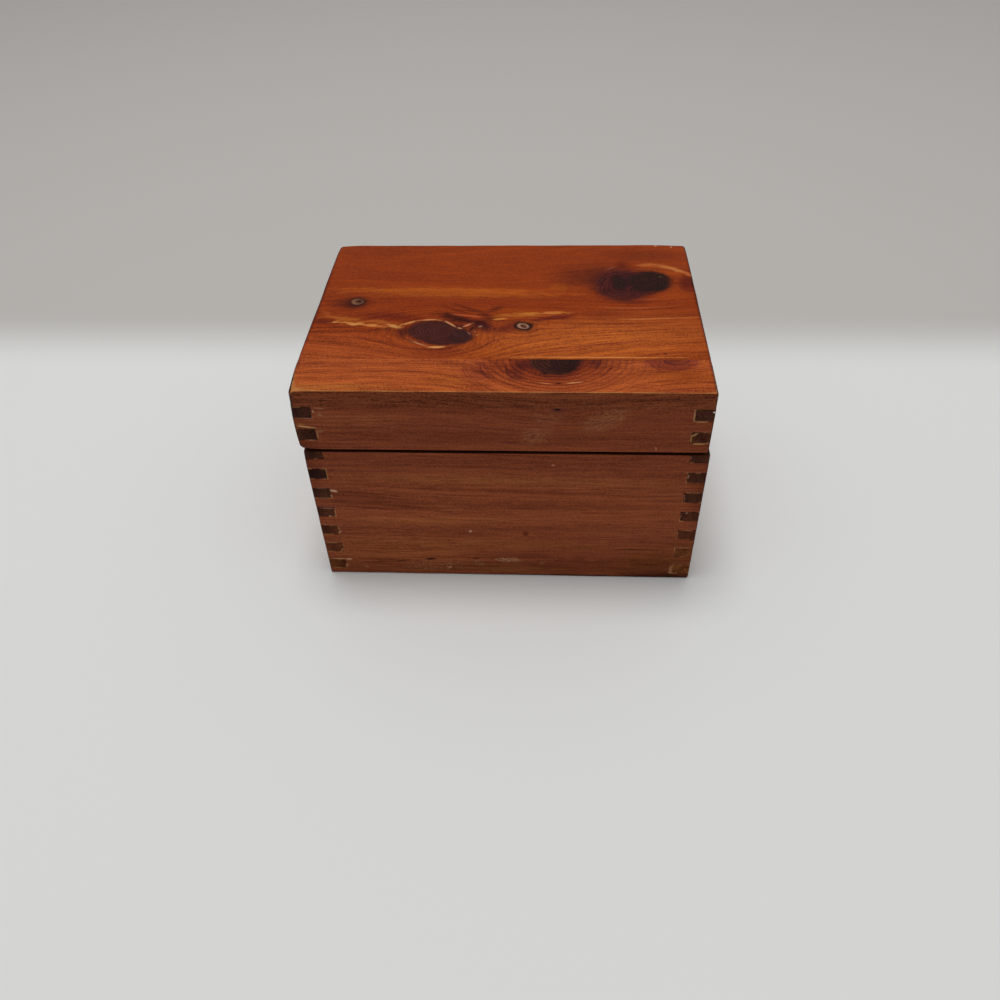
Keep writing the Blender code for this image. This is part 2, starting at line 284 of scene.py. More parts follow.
def pull(bm, faces, thick, distance, keep):
    """Pull faces out along an axis; keep leaves the old ones behind as the board's inner face."""
    pulled = bmesh.ops.extrude_face_region(bm, geom=faces)["geom"]
    way = Vector((0, 0, 0))
    way[thick] = distance
    bmesh.ops.translate(bm, verts=[g for g in pulled if isinstance(g, bmesh.types.BMVert)], vec=way)
    if not keep:
        bmesh.ops.delete(bm, geom=faces, context="FACES")
    return [g for g in pulled if isinstance(g, bmesh.types.BMFace)]


# %% [markdown]
# ## Sanding
#
# The maker glues the box first and sands it whole, so neighbouring boards share one rounded outline.
# This function does the same: it knows only the outline of the base or of the lid, and moves every
# point near an outer edge onto a rounded one. The radius wanders a little, and grows at a corner that
# hands have worn. Fine cuts near each edge give the rounding something to bend.

# %% Define the sanding
EASE_STEPS = [step * MM for step in (0.12, 0.3, 0.55, 0.9, 1.4, 2.1, 3.2, 4.8)]
RIM_STEPS, LEVEL_STEPS = EASE_STEPS[:5], EASE_STEPS[:6]   # the cuts that a rim and a flat board need
ARRIS = {"top": 0.75 * MM, "rim": 0.3 * MM, "bottom": 0.7 * MM}
CORNER = 0.7 * MM
RIPPLE_LENGTH = 11 * MM
RIPPLE_SHARE = 0.4
lid_low, lid_high = outer["lid"]
WORN_CORNERS = [              # where, how much rounder, and how far the wear reaches
    (Vector((lid_low.x, lid_low.y, lid_high.z)), 1.7 * MM, 8 * MM),
    (Vector((lid_high.x, lid_low.y, lid_high.z)), 0.5 * MM, 5 * MM),
    (Vector((lid_low.x, lid_high.y, lid_high.z)), 1.2 * MM, 5 * MM),
    (Vector((lid_high.x, lid_high.y, lid_high.z)), 0.9 * MM, 5 * MM),
    (Vector((lid_low.x, lid_low.y, lid_low.z)), 1.0 * MM, 4 * MM),
]


def sanded(point, low, high, radius_low, radius_high):
    """Where a point of a board goes when the whole outline is sanded."""
    point = point.copy()
    worn = sum(more * math.exp(-(point - corner).length_squared / reach ** 2)
               for corner, more, reach in WORN_CORNERS)
    ripple = 1 + RIPPLE_SHARE * noise.noise(point / RIPPLE_LENGTH)
    near_low = [point[i] - low[i] < high[i] - point[i] for i in range(3)]
    radius = (worn + (radius_low if near_low[2] else radius_high)) * ripple
    inward = [1 if near_low[i] else -1 for i in range(3)]
    depth = [max(radius - min(point[i] - low[i], high[i] - point[i]), 0) for i in range(3)]
    flank = max(depth[:2])
    if flank > 0 and depth[2] > 0:
        give = 1 - max(flank, depth[2]) / math.hypot(flank, depth[2])
        for i in range(3):
            point[i] += inward[i] * depth[i] * give
    round_radius = (CORNER + worn) * ripple
    depth = [max(round_radius - min(point[i] - low[i], high[i] - point[i]), 0) for i in range(2)]
    if min(depth) > 0:
        give = 1 - max(depth) / math.hypot(*depth)
        for i in range(2):
            point[i] += inward[i] * depth[i] * give
    return point


# %% [markdown]
# ## Seams and faces
#
# Where two boards meet, each has a tiny bevel, which a real joint gets from the saw and from wear. So
# every seam shows as a fine line. Then each face of a board learns what it is: long grain on the
# outside, end grain where the fibres are cut across, or bare wood inside the box.

# %% Define the seams, the faces and the finished board
GROOVE_WIDTH = 0.18 * MM
GROOVE_DEPTH = 0.09 * MM
SHARP = math.radians(60)
FULL_WEAR = 0.2 * MM         # sanded away by this much, an edge counts as fully worn
CROSS_CUT = 0.5              # how far a face leans along the grain before it shows end grain
FLAT_ON = 0.7                # how squarely a face looks along an axis to count as an edge or a rim
SMOOTH = math.radians(35)
END_GRAIN, INSIDE, EDGE_GRAIN, RIM = 1, 2, 3, 3


def groove_seams(bm, low, high):
    """Press in the sharp edges that lie on the outer faces, apart from the outline's own."""
    def on_face(vert, axis):
        return min(vert.co[axis] - low[axis], high[axis] - vert.co[axis]) < HEAL

    moves = {}
    for edge in bm.edges:
        if len(edge.link_faces) != 2 or edge.calc_face_angle() < SHARP:
            continue
        first, second = edge.verts
        shared = [axis for axis in range(3) if on_face(first, axis) and on_face(second, axis)]
        if len(shared) != 1:
            continue
        axis = shared[0]
        for vert in edge.verts:
            inward = 1 if vert.co[axis] - low[axis] < HEAL else -1
            moves.setdefault(vert, {})[axis] = inward * GROOVE_DEPTH
    for vert, shift in moves.items():
        for axis, distance in shift.items():
            vert.co[axis] += distance


def finish_board(name, bm, body, node, materials, grain, inner):
    """Sand a board, sort its faces, and put it in the place of its node."""
    low, high = outer[body]
    bmesh.ops.recalc_face_normals(bm, faces=bm.faces)
    groove_seams(bm, low, high)
    ends = (ARRIS["bottom"], ARRIS["rim"]) if body == "base" else (ARRIS["rim"], ARRIS["top"])
    wear = bm.verts.layers.float.new("wear")
    for vert in bm.verts:
        place = sanded(vert.co, low, high, *ends)
        vert[wear] = min((place - vert.co).length / FULL_WEAR, 1.0)
        vert.co = place
    bm.normal_update()
    for face in bm.faces:
        if abs(face.normal[grain]) > CROSS_CUT:
            face.material_index = END_GRAIN
        elif inner[0] == 2 and abs(face.normal.y) > FLAT_ON:
            face.material_index = EDGE_GRAIN
        elif inner[0] < 2 and abs(face.normal.z) > FLAT_ON:
            face.material_index = RIM
        elif abs(face.calc_center_median()[inner[0]] - inner[1]) < HEAL:
            face.material_index = INSIDE
    mesh = bpy.data.meshes.new(name)
    open_edges = sum(not edge.is_manifold for edge in bm.edges)
    bm.to_mesh(mesh)
    bm.free()
    for material in materials:
        mesh.materials.append(material)
    mesh.shade_smooth()
    mesh.set_sharp_from_angle(angle=SMOOTH)
    piece = bpy.data.objects.new(name, mesh)
    bpy.context.scene.collection.objects.link(piece)
    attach(piece, body)
    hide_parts(node)
    print(f"{name}: {len(mesh.polygons)} faces, {open_edges} open edges")
    return piece


# %% [markdown]
# ## Marks in the wood
#
# Knots, pale wisps, cracks and scuffs are all long ovals, so one node group measures them: how far a
# point is from the middle of an oval, where 1 is its rim. The oval can be tilted and bent. The points
# are in millimetres: along the grain, across it and into the board.

# %% Make the oval group
def new_group(name, inputs, outputs):
    """An empty node group, its input node and its output node."""
    group = bpy.data.node_groups.new(name, "ShaderNodeTree")
    for kind, names in inputs.items():
        for socket in names:
            group.interface.new_socket(socket, in_out="INPUT", socket_type="NodeSocket" + kind)
    for socket in outputs:
        group.interface.new_socket(socket, in_out="OUTPUT", socket_type="NodeSocketFloat")
    return group, group.nodes.new("NodeGroupInput").outputs, group.nodes.new("NodeGroupOutput").inputs


oval, given, result = new_group("oval_mark", {"Vector": ("Point", "Centre", "Half Sizes"),
                                              "Float": ("Tilt", "Bow")}, ("Distance", "Across"))
offset = add(oval, "VectorMath", [given["Point"], given["Centre"]], operation="SUBTRACT")
turn_back = add(oval, "Math", [given["Tilt"], -1.0], operation="MULTIPLY")
turned = add(oval, "VectorRotate", {"Vector": offset, "Angle": turn_back}, rotation_type="Z_AXIS")
scaled = add(oval, "VectorMath", [turned, given["Half Sizes"]], operation="DIVIDE")
flat = add(oval, "VectorMath", [scaled, (1.0, 1.0, 0.0)], operation="MULTIPLY")
along = add(oval, "VectorMath", [flat, (1.0, 0.0, 0.0)], out="Value", operation="DOT_PRODUCT")
squared = add(oval, "Math", [along, along], operation="MULTIPLY")
sag = add(oval, "Math", [squared, given["Bow"]], operation="MULTIPLY")
sag = add(oval, "CombineXYZ", {"Y": sag})
straight = add(oval, "VectorMath", [flat, sag], operation="SUBTRACT")
across = add(oval, "VectorMath", [straight, (0.0, 1.0, 0.0)], out="Value", operation="DOT_PRODUCT")
length = add(oval, "VectorMath", [straight], out="Value", operation="LENGTH")
oval.links.new(length, result["Distance"])
oval.links.new(across, result["Across"])
print("the oval group has", len(oval.nodes), "nodes")

# %% [markdown]
# ## The figure of cedar
#
# A board shows the tree's growth rings where the saw crossed them. So the figure is made as the tree
# made it: each point's distance from the pith is counted in rings, and each ring darkens slowly and
# ends in a thin dark line. No two rings are alike. The distance wanders slowly along the trunk, which
# draws the long curved lines of a flat-sawn face. Streaks and fibres follow the same rings. Near a
# branch the rings swell, and that comes in as a distance of its own. The last output frays the rims of
# marks, so that they break up along the fibres.

# %% Make the cedar group
# Each noise has one over its millimetres along, across and into the board, and its detail. Real fibres
# are about 0.03 mm wide, too fine for the picture, so they are drawn as strands of half a millimetre.
FIGURE_NOISES = {
    "wander": ((1 / 85, 1 / 34, 1 / 34), 1.0),
    "uneven": ((1 / 80, 1 / 9, 1 / 9), 1.0),
    "fade": ((1 / 32, 1 / 4, 1 / 4), 2.0),
    "fibre": ((1 / 9, 1 / 0.5, 1 / 0.5), 2.0),
    "speck": ((1 / 0.8, 1 / 0.45, 1 / 0.45), 1.0),
    "fray": ((1 / 5, 1 / 1.2, 1 / 1.2), 3.0),
}
UNEVEN_RINGS = 1.6               # how far the uneven growth moves a ring, in rings
STREAK_LENGTH, STREAK_WIDTH = 60.0, 1.0
BROAD_SHARE = (0.5, 0.16, 0.0)   # the broad bands' scale against the streaks'
LATE_WOOD = ((2.5, 0.35), (7.0, 0.65))   # power and share: the soft shade, then the thin dark line
FAINTEST_LINE = 0.4              # the least that is left of a ring's line, for its weight and its fading
FADE_FROM, FADE_FULL = 0.35, 0.55   # the noise where a line starts to show, and shows fully

cedar, given, result = new_group(
    "cedar_figure", {"Vector": ("Point", "Pith", "Seed"),
                     "Float": ("Swell", "Ring Width", "Wander", "Streaks", "Bands", "Fibres", "Specks")},
    ("Tone", "Line", "Fibre", "Fray"))
seeded = add(cedar, "VectorMath", [given["Point"], given["Seed"]], operation="ADD")
spread = {}
for name, (scale, detail) in FIGURE_NOISES.items():
    stretched = add(cedar, "VectorMath", [seeded, scale], operation="MULTIPLY")
    spread[name] = add(cedar, "TexNoise", {"Vector": stretched, "Scale": 1.0, "Detail": detail}, out="Fac")
drift = add(cedar, "Math", [spread["wander"], 0.5], operation="SUBTRACT")
drift = add(cedar, "Math", [drift, given["Wander"], given["Swell"]], operation="MULTIPLY_ADD")
from_pith = add(cedar, "VectorMath", [given["Point"], given["Pith"]], operation="SUBTRACT")
round_pith = add(cedar, "VectorMath", [from_pith, (0.0, 1.0, 1.0)], operation="MULTIPLY")
radius = add(cedar, "VectorMath", [round_pith], out="Value", operation="LENGTH")
radius = add(cedar, "Math", [radius, drift], operation="ADD")
counted = add(cedar, "Math", [radius, given["Ring Width"]], operation="DIVIDE")
unsteady = add(cedar, "Math", [spread["uneven"], UNEVEN_RINGS, counted], operation="MULTIPLY_ADD")
growth = add(cedar, "Math", [unsteady], operation="FRACT")
line = 0.0
for power, share in LATE_WOOD:
    late = add(cedar, "Math", [growth, power], operation="POWER")
    line = add(cedar, "Math", [late, share, line], operation="MULTIPLY_ADD")
ring_number = add(cedar, "Math", [unsteady], operation="FLOOR")
ring_weight = add(cedar, "TexWhiteNoise", {"W": ring_number}, out="Value", noise_dimensions="1D")
ring_weight = add(cedar, "MapRange", {"Value": ring_weight, "To Min": FAINTEST_LINE})
fade = add(cedar, "MapRange", {"Value": spread["fade"], "From Min": FADE_FROM, "From Max": FADE_FULL,
                               "To Min": FAINTEST_LINE})
line = add(cedar, "Math", [line, ring_weight], operation="MULTIPLY")
line = add(cedar, "Math", [line, fade], operation="MULTIPLY")
seed_parts = add(cedar, "SeparateXYZ", [seeded]).node.outputs
along_streak = add(cedar, "Math", [seed_parts["X"], 1 / STREAK_LENGTH], operation="MULTIPLY")
across_streak = add(cedar, "Math", [radius, 1 / STREAK_WIDTH], operation="MULTIPLY")
streak_point = add(cedar, "CombineXYZ", [along_streak, across_streak, seed_parts["Z"]])
streak = add(cedar, "TexNoise", {"Vector": streak_point, "Scale": 1.0, "Detail": 3.0}, out="Fac")
broad_point = add(cedar, "VectorMath", [streak_point, BROAD_SHARE], operation="MULTIPLY")
broad = add(cedar, "TexNoise", {"Vector": broad_point, "Scale": 1.0, "Detail": 1.0}, out="Fac")
tone = 0.5
for share, pattern in (("Streaks", streak), ("Bands", broad), ("Fibres", spread["fibre"]),
                       ("Specks", spread["speck"])):
    centred = add(cedar, "Math", [pattern, 0.5], operation="SUBTRACT")
    tone = add(cedar, "Math", [centred, given[share], tone], operation="MULTIPLY_ADD")
for socket, value in (("Tone", tone), ("Line", line), ("Fibre", spread["fibre"]), ("Fray", spread["fray"])):
    cedar.links.new(value, result[socket])
print("the cedar group has", len(cedar.nodes), "nodes")

# %% [markdown]
# ## From a point in the box to a point in the board
#
# Each board lies its own way, but the figure only knows along, across and into. So a material first
# sorts the object's coordinates into that order and turns metres into millimetres. Then the grain is
# led round the knots.
#
# The colour is built as it is in wood. First comes the ground, the palest wood of each region. The
# figure and the stains then only take light away from it, so they are multiplied in and no layer hides
# the fibres below. Only pale wisps, glue and knots are laid on top.

# %% Define the board's own coordinates, the grain round a knot and the layers of colour
ORDERS = {"front": "XZY", "side": "YZX", "level": "XYZ"}
VARNISH_IOR = 1.5
VARNISH_SHINE = 0.05         # a rubbed film reflects far less than a glossy one
GLOSS_SPREAD = (0.08, 0.1)   # how much smoother and rougher than its average the film gets
LINE_SINK = 0.6              # how deep the dark lines lie, against the height of the fibres
RELIEF_STRENGTH = 0.35
# The edge tint is partly worn varnish and partly painted light on the rounded edges.
EDGE_TINT_FRAY = (0.35, 0.6)      # the fray where wear starts to show, and shows fully
LEAST_EDGE_TINT_SHARE = 0.4
GRAIN_TONES = ((0.0, "7C5C50"), (0.5, "D2C8C4"), (1.0, "FFFFFF"))


def board_point(tree, order):
    """The point in millimetres: along the grain, across it, into the board."""
    place = add(tree, "TexCoord", out="Object")
    in_mm = add(tree, "VectorMath", {0: place, "Scale": 1 / MM}, operation="SCALE")
    parts = add(tree, "SeparateXYZ", [in_mm]).node.outputs
    return add(tree, "CombineXYZ", [parts[axis] for axis in ORDERS[order]])


def oval_at(tree, point, centre, half, tilt=0.0, bow=0.0):
    """Measure from one oval; its outputs are Distance and Across."""
    return add(tree, "Group", {"Point": point, "Centre": (*centre, 0.0), "Half Sizes": (*half, 1.0),
                               "Tilt": math.radians(tilt), "Bow": bow}, node_tree=oval).node.outputs


def part_grain(tree, point, knots):
    """Lead the grain round each knot; return the moved point and how much the rings swell."""
    start = point
    swelling = 0.0
    for centre, half, tilt, push, lift, swell in knots:
        mark = oval_at(tree, start, centre, half, tilt)
        bell = add(tree, "Math", [mark["Distance"], mark["Distance"]], operation="MULTIPLY")
        bell = add(tree, "Math", [bell, -0.5], operation="MULTIPLY")
        bell = add(tree, "Math", [bell], operation="EXPONENT")
        shift = add(tree, "Math", [mark["Across"], -push * half[1], -lift], operation="MULTIPLY_ADD")
        shift = add(tree, "Math", [shift, bell], operation="MULTIPLY")
        step = add(tree, "CombineXYZ", {"Y": shift})
        point = add(tree, "VectorMath", [point, step], operation="ADD")
        swelling = add(tree, "Math", [bell, swell, swelling], operation="MULTIPLY_ADD")
    return point, swelling


def figure_at(tree, point, pith, seed, swelling=0.0, ring_width=2.4, wander=8.0, streaks=0.7, bands=0.6,
              fibres=1.0, specks=0.8):
    """The cedar's figure; its outputs are Tone, Line, Fibre and Fray."""
    return add(tree, "Group", {
        "Point": point, "Pith": pith, "Seed": seed, "Swell": swelling, "Ring Width": ring_width,
        "Wander": wander, "Streaks": streaks, "Bands": bands, "Fibres": fibres, "Specks": specks},
        node_tree=cedar).node.outputs


def lay_marks(tree, colour, point, figure, marks, way="MIX"):
    """Lay a list of soft oval marks over a colour, one after another, their rims frayed by the fibres."""
    ragged = add(tree, "Math", [figure["Fray"], 0.5], operation="SUBTRACT")
    for centre, half, tilt, bow, fray, soft, shade, strength in marks:
        distance = oval_at(tree, point, centre, half, tilt, bow)["Distance"]
        distance = add(tree, "Math", [ragged, 2.0 * fray, distance], operation="MULTIPLY_ADD")
        mask = add(tree, "MapRange", {"Value": distance, "From Min": 1.0, "From Max": 1.0 - soft,
                                      "To Max": strength}, interpolation_type="SMOOTHSTEP")
        colour = add(tree, "Mix", {"Factor": mask, MIX_A: colour, MIX_B: linear(shade)}, **COLOUR_MIX,
                     blend_type=way)
    return colour


def lay_figure(tree, colour, figure, line_filter, line_share):
    """Let the fibres and the rings' dark lines take their share of the light."""
    filtered = add(tree, "ValToRGB", [figure["Tone"]], stops=GRAIN_TONES)
    colour = add(tree, "Mix", {"Factor": 1.0, MIX_A: colour, MIX_B: filtered}, **COLOUR_MIX,
                 blend_type="MULTIPLY")
    shade = add(tree, "Math", [figure["Line"], line_share], operation="MULTIPLY")
    return add(tree, "Mix", {"Factor": shade, MIX_A: colour, MIX_B: linear(line_filter)}, **COLOUR_MIX,
               blend_type="MULTIPLY")


def lay_edge_wear_and_painted_light(tree, colour, figure, shade, strength):
    """Tint the sanded edges: partly worn varnish, partly painted light, a painted highlight where the tint
    is pale and painted shade where it is dark.
    """
    worn = add(tree, "Attribute", out="Fac", attribute_name="wear")
    patchy = add(tree, "MapRange", {"Value": figure["Fray"], "From Min": EDGE_TINT_FRAY[0],
                                    "From Max": EDGE_TINT_FRAY[1], "To Min": LEAST_EDGE_TINT_SHARE * strength,
                                    "To Max": strength})
    mask = add(tree, "Math", [worn, patchy], operation="MULTIPLY")
    return add(tree, "Mix", {"Factor": mask, MIX_A: colour, MIX_B: linear(shade)}, **COLOUR_MIX)


def varnish(tree, shader, colour, figure, roughness=0.45, relief=0.05 * MM, shine=VARNISH_SHINE):
    """Coat the wood: smoother on the hard dark lines, and with a faint relief of its fibres."""
    tree.links.new(colour, shader.inputs["Base Color"])
    gloss = add(tree, "MapRange", {"Value": figure["Fibre"], "To Min": roughness - GLOSS_SPREAD[0],
                                   "To Max": roughness + GLOSS_SPREAD[1]})
    tree.links.new(gloss, shader.inputs["Roughness"])
    height = add(tree, "Math", [figure["Line"], -LINE_SINK, figure["Fibre"]], operation="MULTIPLY_ADD")
    normal = add(tree, "Bump", {"Strength": RELIEF_STRENGTH, "Distance": relief, "Height": height},
                 out="Normal")
    tree.links.new(normal, shader.inputs["Normal"])
    shader.inputs["IOR"].default_value = VARNISH_IOR
    shader.inputs["Specular IOR Level"].default_value = shine


# %% [markdown]
# ## Knots
#
# A knot is a branch cut across. It has rings of its own, much finer than the trunk's, and round it the
# resin has stained the wood in rings too. So a knot is laid in two steps: the stain, which is darkest
# along its ring lines, then the core with its own rings. A small knot with a pale ring is laid as plain
# ovals, one inside the other.

# %% Define a knot
CLOUD_SCALE, CLOUD_DETAIL = 0.3, 2.0     # the clouds in a knot: one over millimetres, and detail
RING_LINE_POWER = 3.0        # the higher, the thinner the dark line that ends each ring
FULL_RING, FAINTEST_RING = 0.8, 0.25     # the random weight that makes a ring full, and the least weight
BROWNEST = 0.6               # how late in a ring, times the clouds, the core is brownest
RIM_WANDER, RIM_FRAY = 0.2, 0.35         # how far the clouds and the fibres move a knot's rim


def lay_knot(tree, colour, point, figure, centre, half, tilt, ring, shades, halo=1.35, edge=0.05, even=0.4,
             wobble=2.2):
    """Lay a knot: ring is the width of its rings in millimetres, halo how far its stain reaches as a
    share of the knot, even how much of the stain lies between the ring lines, and wobble how far the
    rings wave."""
    stain_shade, dark, brown = shades
    distance = oval_at(tree, point, centre, half, tilt)["Distance"]
    cloudy = add(tree, "TexNoise", {"Vector": point, "Scale": CLOUD_SCALE, "Detail": CLOUD_DETAIL},
                 out="Fac")
    rough = add(tree, "Math", [cloudy, 0.5], operation="SUBTRACT")
    counted = add(tree, "Math", [rough, wobble], operation="MULTIPLY")
    counted = add(tree, "Math", [distance, half[0] / ring, counted], operation="MULTIPLY_ADD")
    phase = add(tree, "Math", [counted], operation="FRACT")
    ring_line = add(tree, "Math", [phase, RING_LINE_POWER], operation="POWER")
    ring_number = add(tree, "Math", [counted], operation="FLOOR")
    ring_weight = add(tree, "TexWhiteNoise", {"W": ring_number}, out="Value", noise_dimensions="1D")
    ring_weight = add(tree, "MapRange", {"Value": ring_weight, "From Max": FULL_RING,
                                         "To Min": FAINTEST_RING})
    ring_line = add(tree, "Math", [ring_line, ring_weight], operation="MULTIPLY")
    stain = add(tree, "MapRange", {"Value": distance, "From Min": halo, "From Max": 1.0},
                interpolation_type="SMOOTHSTEP")
    ringed = add(tree, "MapRange", {"Value": ring_line, "To Min": even})
    stain = add(tree, "Math", [stain, ringed], operation="MULTIPLY")
    colour = add(tree, "Mix", {"Factor": stain, MIX_A: colour, MIX_B: linear(stain_shade)}, **COLOUR_MIX,
                 blend_type="MULTIPLY")
    brownish = add(tree, "Math", [phase, cloudy], operation="MULTIPLY")
    brownish = add(tree, "MapRange", {"Value": brownish, "From Max": BROWNEST})
    core = add(tree, "Mix", {"Factor": brownish, MIX_A: linear(dark), MIX_B: linear(brown)}, **COLOUR_MIX)
    rim = add(tree, "Math", [rough, RIM_WANDER, distance], operation="MULTIPLY_ADD")
    ragged = add(tree, "Math", [figure["Fray"], 0.5], operation="SUBTRACT")
    rim = add(tree, "Math", [ragged, RIM_FRAY, rim], operation="MULTIPLY_ADD")
    inside = add(tree, "MapRange", {"Value": rim, "From Min": 1.0 + edge, "From Max": 1.0 - edge},
                 interpolation_type="SMOOTHSTEP")
    return add(tree, "Mix", {"Factor": inside, MIX_A: colour, MIX_B: core}, **COLOUR_MIX)


# %% [markdown]
# ## The rear top board
#
# This board carries the box's looks: two dark knots grown together at the right, a purple-brown one at
# the left, two small eyes and gold wisps of sapwood. The places were read off enlarged views of the
# photograph, in millimetres from the middle of the box, and the colours were tuned until the picture
# came near it. A row of the first list has a knot's centre, half sizes and tilt in degrees, then how much
# it pushes the grain aside, lifts it and swells its rings. A mark's row has its centre, half length and
# half width, tilt, bow, fray, softness, colour and strength.

# %% Finish the rear top board
PURPLE, RUSSET = "8C74FF", "BE9CF0"      # stains: what they let through
REAR_KNOTS = (
    ((52.0, 20.5), (16.0, 12.0), 0, 0.6, 0.0, 0.0),
    ((-24.0, -15.8), (14.0, 10.0), -10, 0.9, 0.0, 0.0),
    ((-24.0, -18.0), (34.0, 14.0), 0, 0.6, 0.0, 0.0),
    ((88.0, -22.0), (48.0, 20.0), 0, 0.0, 13.0, 0.0),
    ((-58.0, 6.0), (5.0, 4.4), 0, 0.9, 0.0, 0.0),
    ((6.5, -11.0), (5.0, 4.0), -20, 0.9, 0.0, 0.0),
)
# Towards the front the ground is paler, towards the back darker.
REAR_GROUND = (
    ((34.0, -20.0), (82.0, 24.0), 4, 0, 0.2, 1.0, "CA6A26", 1.0),
    ((-62.0, -36.0), (62.0, 30.0), 0, 0, 0.2, 1.0, "BC5C26", 1.0),
    ((-24.0, 13.0), (56.0, 5.0), -2, 0, 0.6, 0.6, "BC5C14", 0.95),
    ((-15.0, 5.0), (70.0, 4.5), 0, 0, 0.5, 1.0, "8A3006", 0.7),
    ((54.0, 41.0), (34.0, 11.0), 0, 0, 0.3, 1.0, "8C3606", 0.8),
    ((32.0, 26.0), (22.0, 15.0), 10, 0, 0.2, 0.9, "722A08", 0.9),
    ((19.6, 16.6), (4.6, 4.4), 0, 0, 0.2, 0.5, "AC540C", 0.5),
    ((60.0, 31.0), (11.5, 5.6), -12, -0.4, 0.1, 0.4, "AC4C0E", 0.8),
    ((62.5, 11.0), (9.0, 6.5), 10, 0, 0.3, 0.9, "B04C0E", 0.6),
)
REAR_STAINS = (
    ((45.5, 34.5), (4.5, 5.0), 0, 0, 0.2, 1.0, RUSSET, 0.8),
    ((70.5, 20.5), (5.2, 8.5), -8, 0, 0.3, 0.6, RUSSET, 1.0),
    ((50.0, 12.0), (8.0, 3.0), -14, 0, 0.2, 1.0, PURPLE, 0.6),
    ((50.0, 5.5), (10.0, 1.6), 0, 0.6, 0.4, 1.0, RUSSET, 0.6),
    ((-37.5, -15.5), (6.4, 5.6), -8, 0, 0.3, 0.9, PURPLE, 0.7),
    ((-24.0, -27.5), (14.0, 3.6), 3, 0, 0.4, 1.0, RUSSET, 0.7),
    ((-21.0, -5.2), (10.0, 3.2), -25, 0, 0.8, 0.7, PURPLE, 0.9),
    ((-15.0, -7.0), (13.0, 6.0), -30, 0, 0.6, 1.0, RUSSET, 1.0),
    ((-20.0, 0.2), (9.0, 1.2), -26, 0, 0.6, 0.9, RUSSET, 0.9),
    ((-17.0, 2.6), (8.0, 0.8), -28, 0, 0.6, 0.9, RUSSET, 0.8),
    ((-43.0, -5.0), (17.0, 4.8), -7, 0, 0.5, 1.0, RUSSET, 0.9),
    ((-69.0, -8.5), (11.0, 4.6), -4, 0, 0.5, 1.0, RUSSET, 0.9),
    ((-60.0, 4.4), (10.5, 7.0), 0, 0, 0.2, 1.0, "A08CB0", 1.0),
    ((-4.5, 0.6), (5.5, 2.6), 38, 0, 0.6, 1.0, PURPLE, 0.7),
    ((-12.0, -0.6), (10.0, 2.0), -22, 0, 0.8, 0.9, PURPLE, 0.6),
    ((-7.5, -5.2), (9.0, 3.0), -14, 0, 0.8, 0.9, PURPLE, 0.6),
    ((-9.6, -10.6), (6.4, 6.4), 0, 0, 0.4, 0.8, PURPLE, 1.0),
    ((18.0, -5.4), (12.0, 1.9), 12, 0, 0.6, 0.6, RUSSET, 1.0),
    ((35.0, -2.5), (20.0, 3.6), 2, 0, 0.6, 1.0, RUSSET, 0.6),
    ((0.0, -12.5), (11.0, 5.2), 20, 0, 0.5, 1.0, RUSSET, 1.0),
    ((33.5, -23.2), (41.0, 0.45), 9.6, -1.6, 0.7, 0.9, RUSSET, 1.0),
    ((45.0, -9.2), (29.0, 0.4), 3, -3.0, 0.7, 0.9, RUSSET, 0.9),
    ((20.0, -27.6), (26.0, 0.35), 8, 0, 0.7, 0.9, RUSSET, 0.9),
    ((-55.0, -13.0), (19.0, 0.4), -5, 0, 0.7, 0.9, RUSSET, 1.0),
    # These two rows darken the left and right edges of the top: painted shade on the rounded edges.
    ((-73.6, 8.0), (2.0, 62.0), 0, 0, 0.2, 0.8, PURPLE, 0.85),
    ((72.7, 8.0), (1.7, 62.0), 0, 0, 0.2, 0.8, PURPLE, 0.9),
)
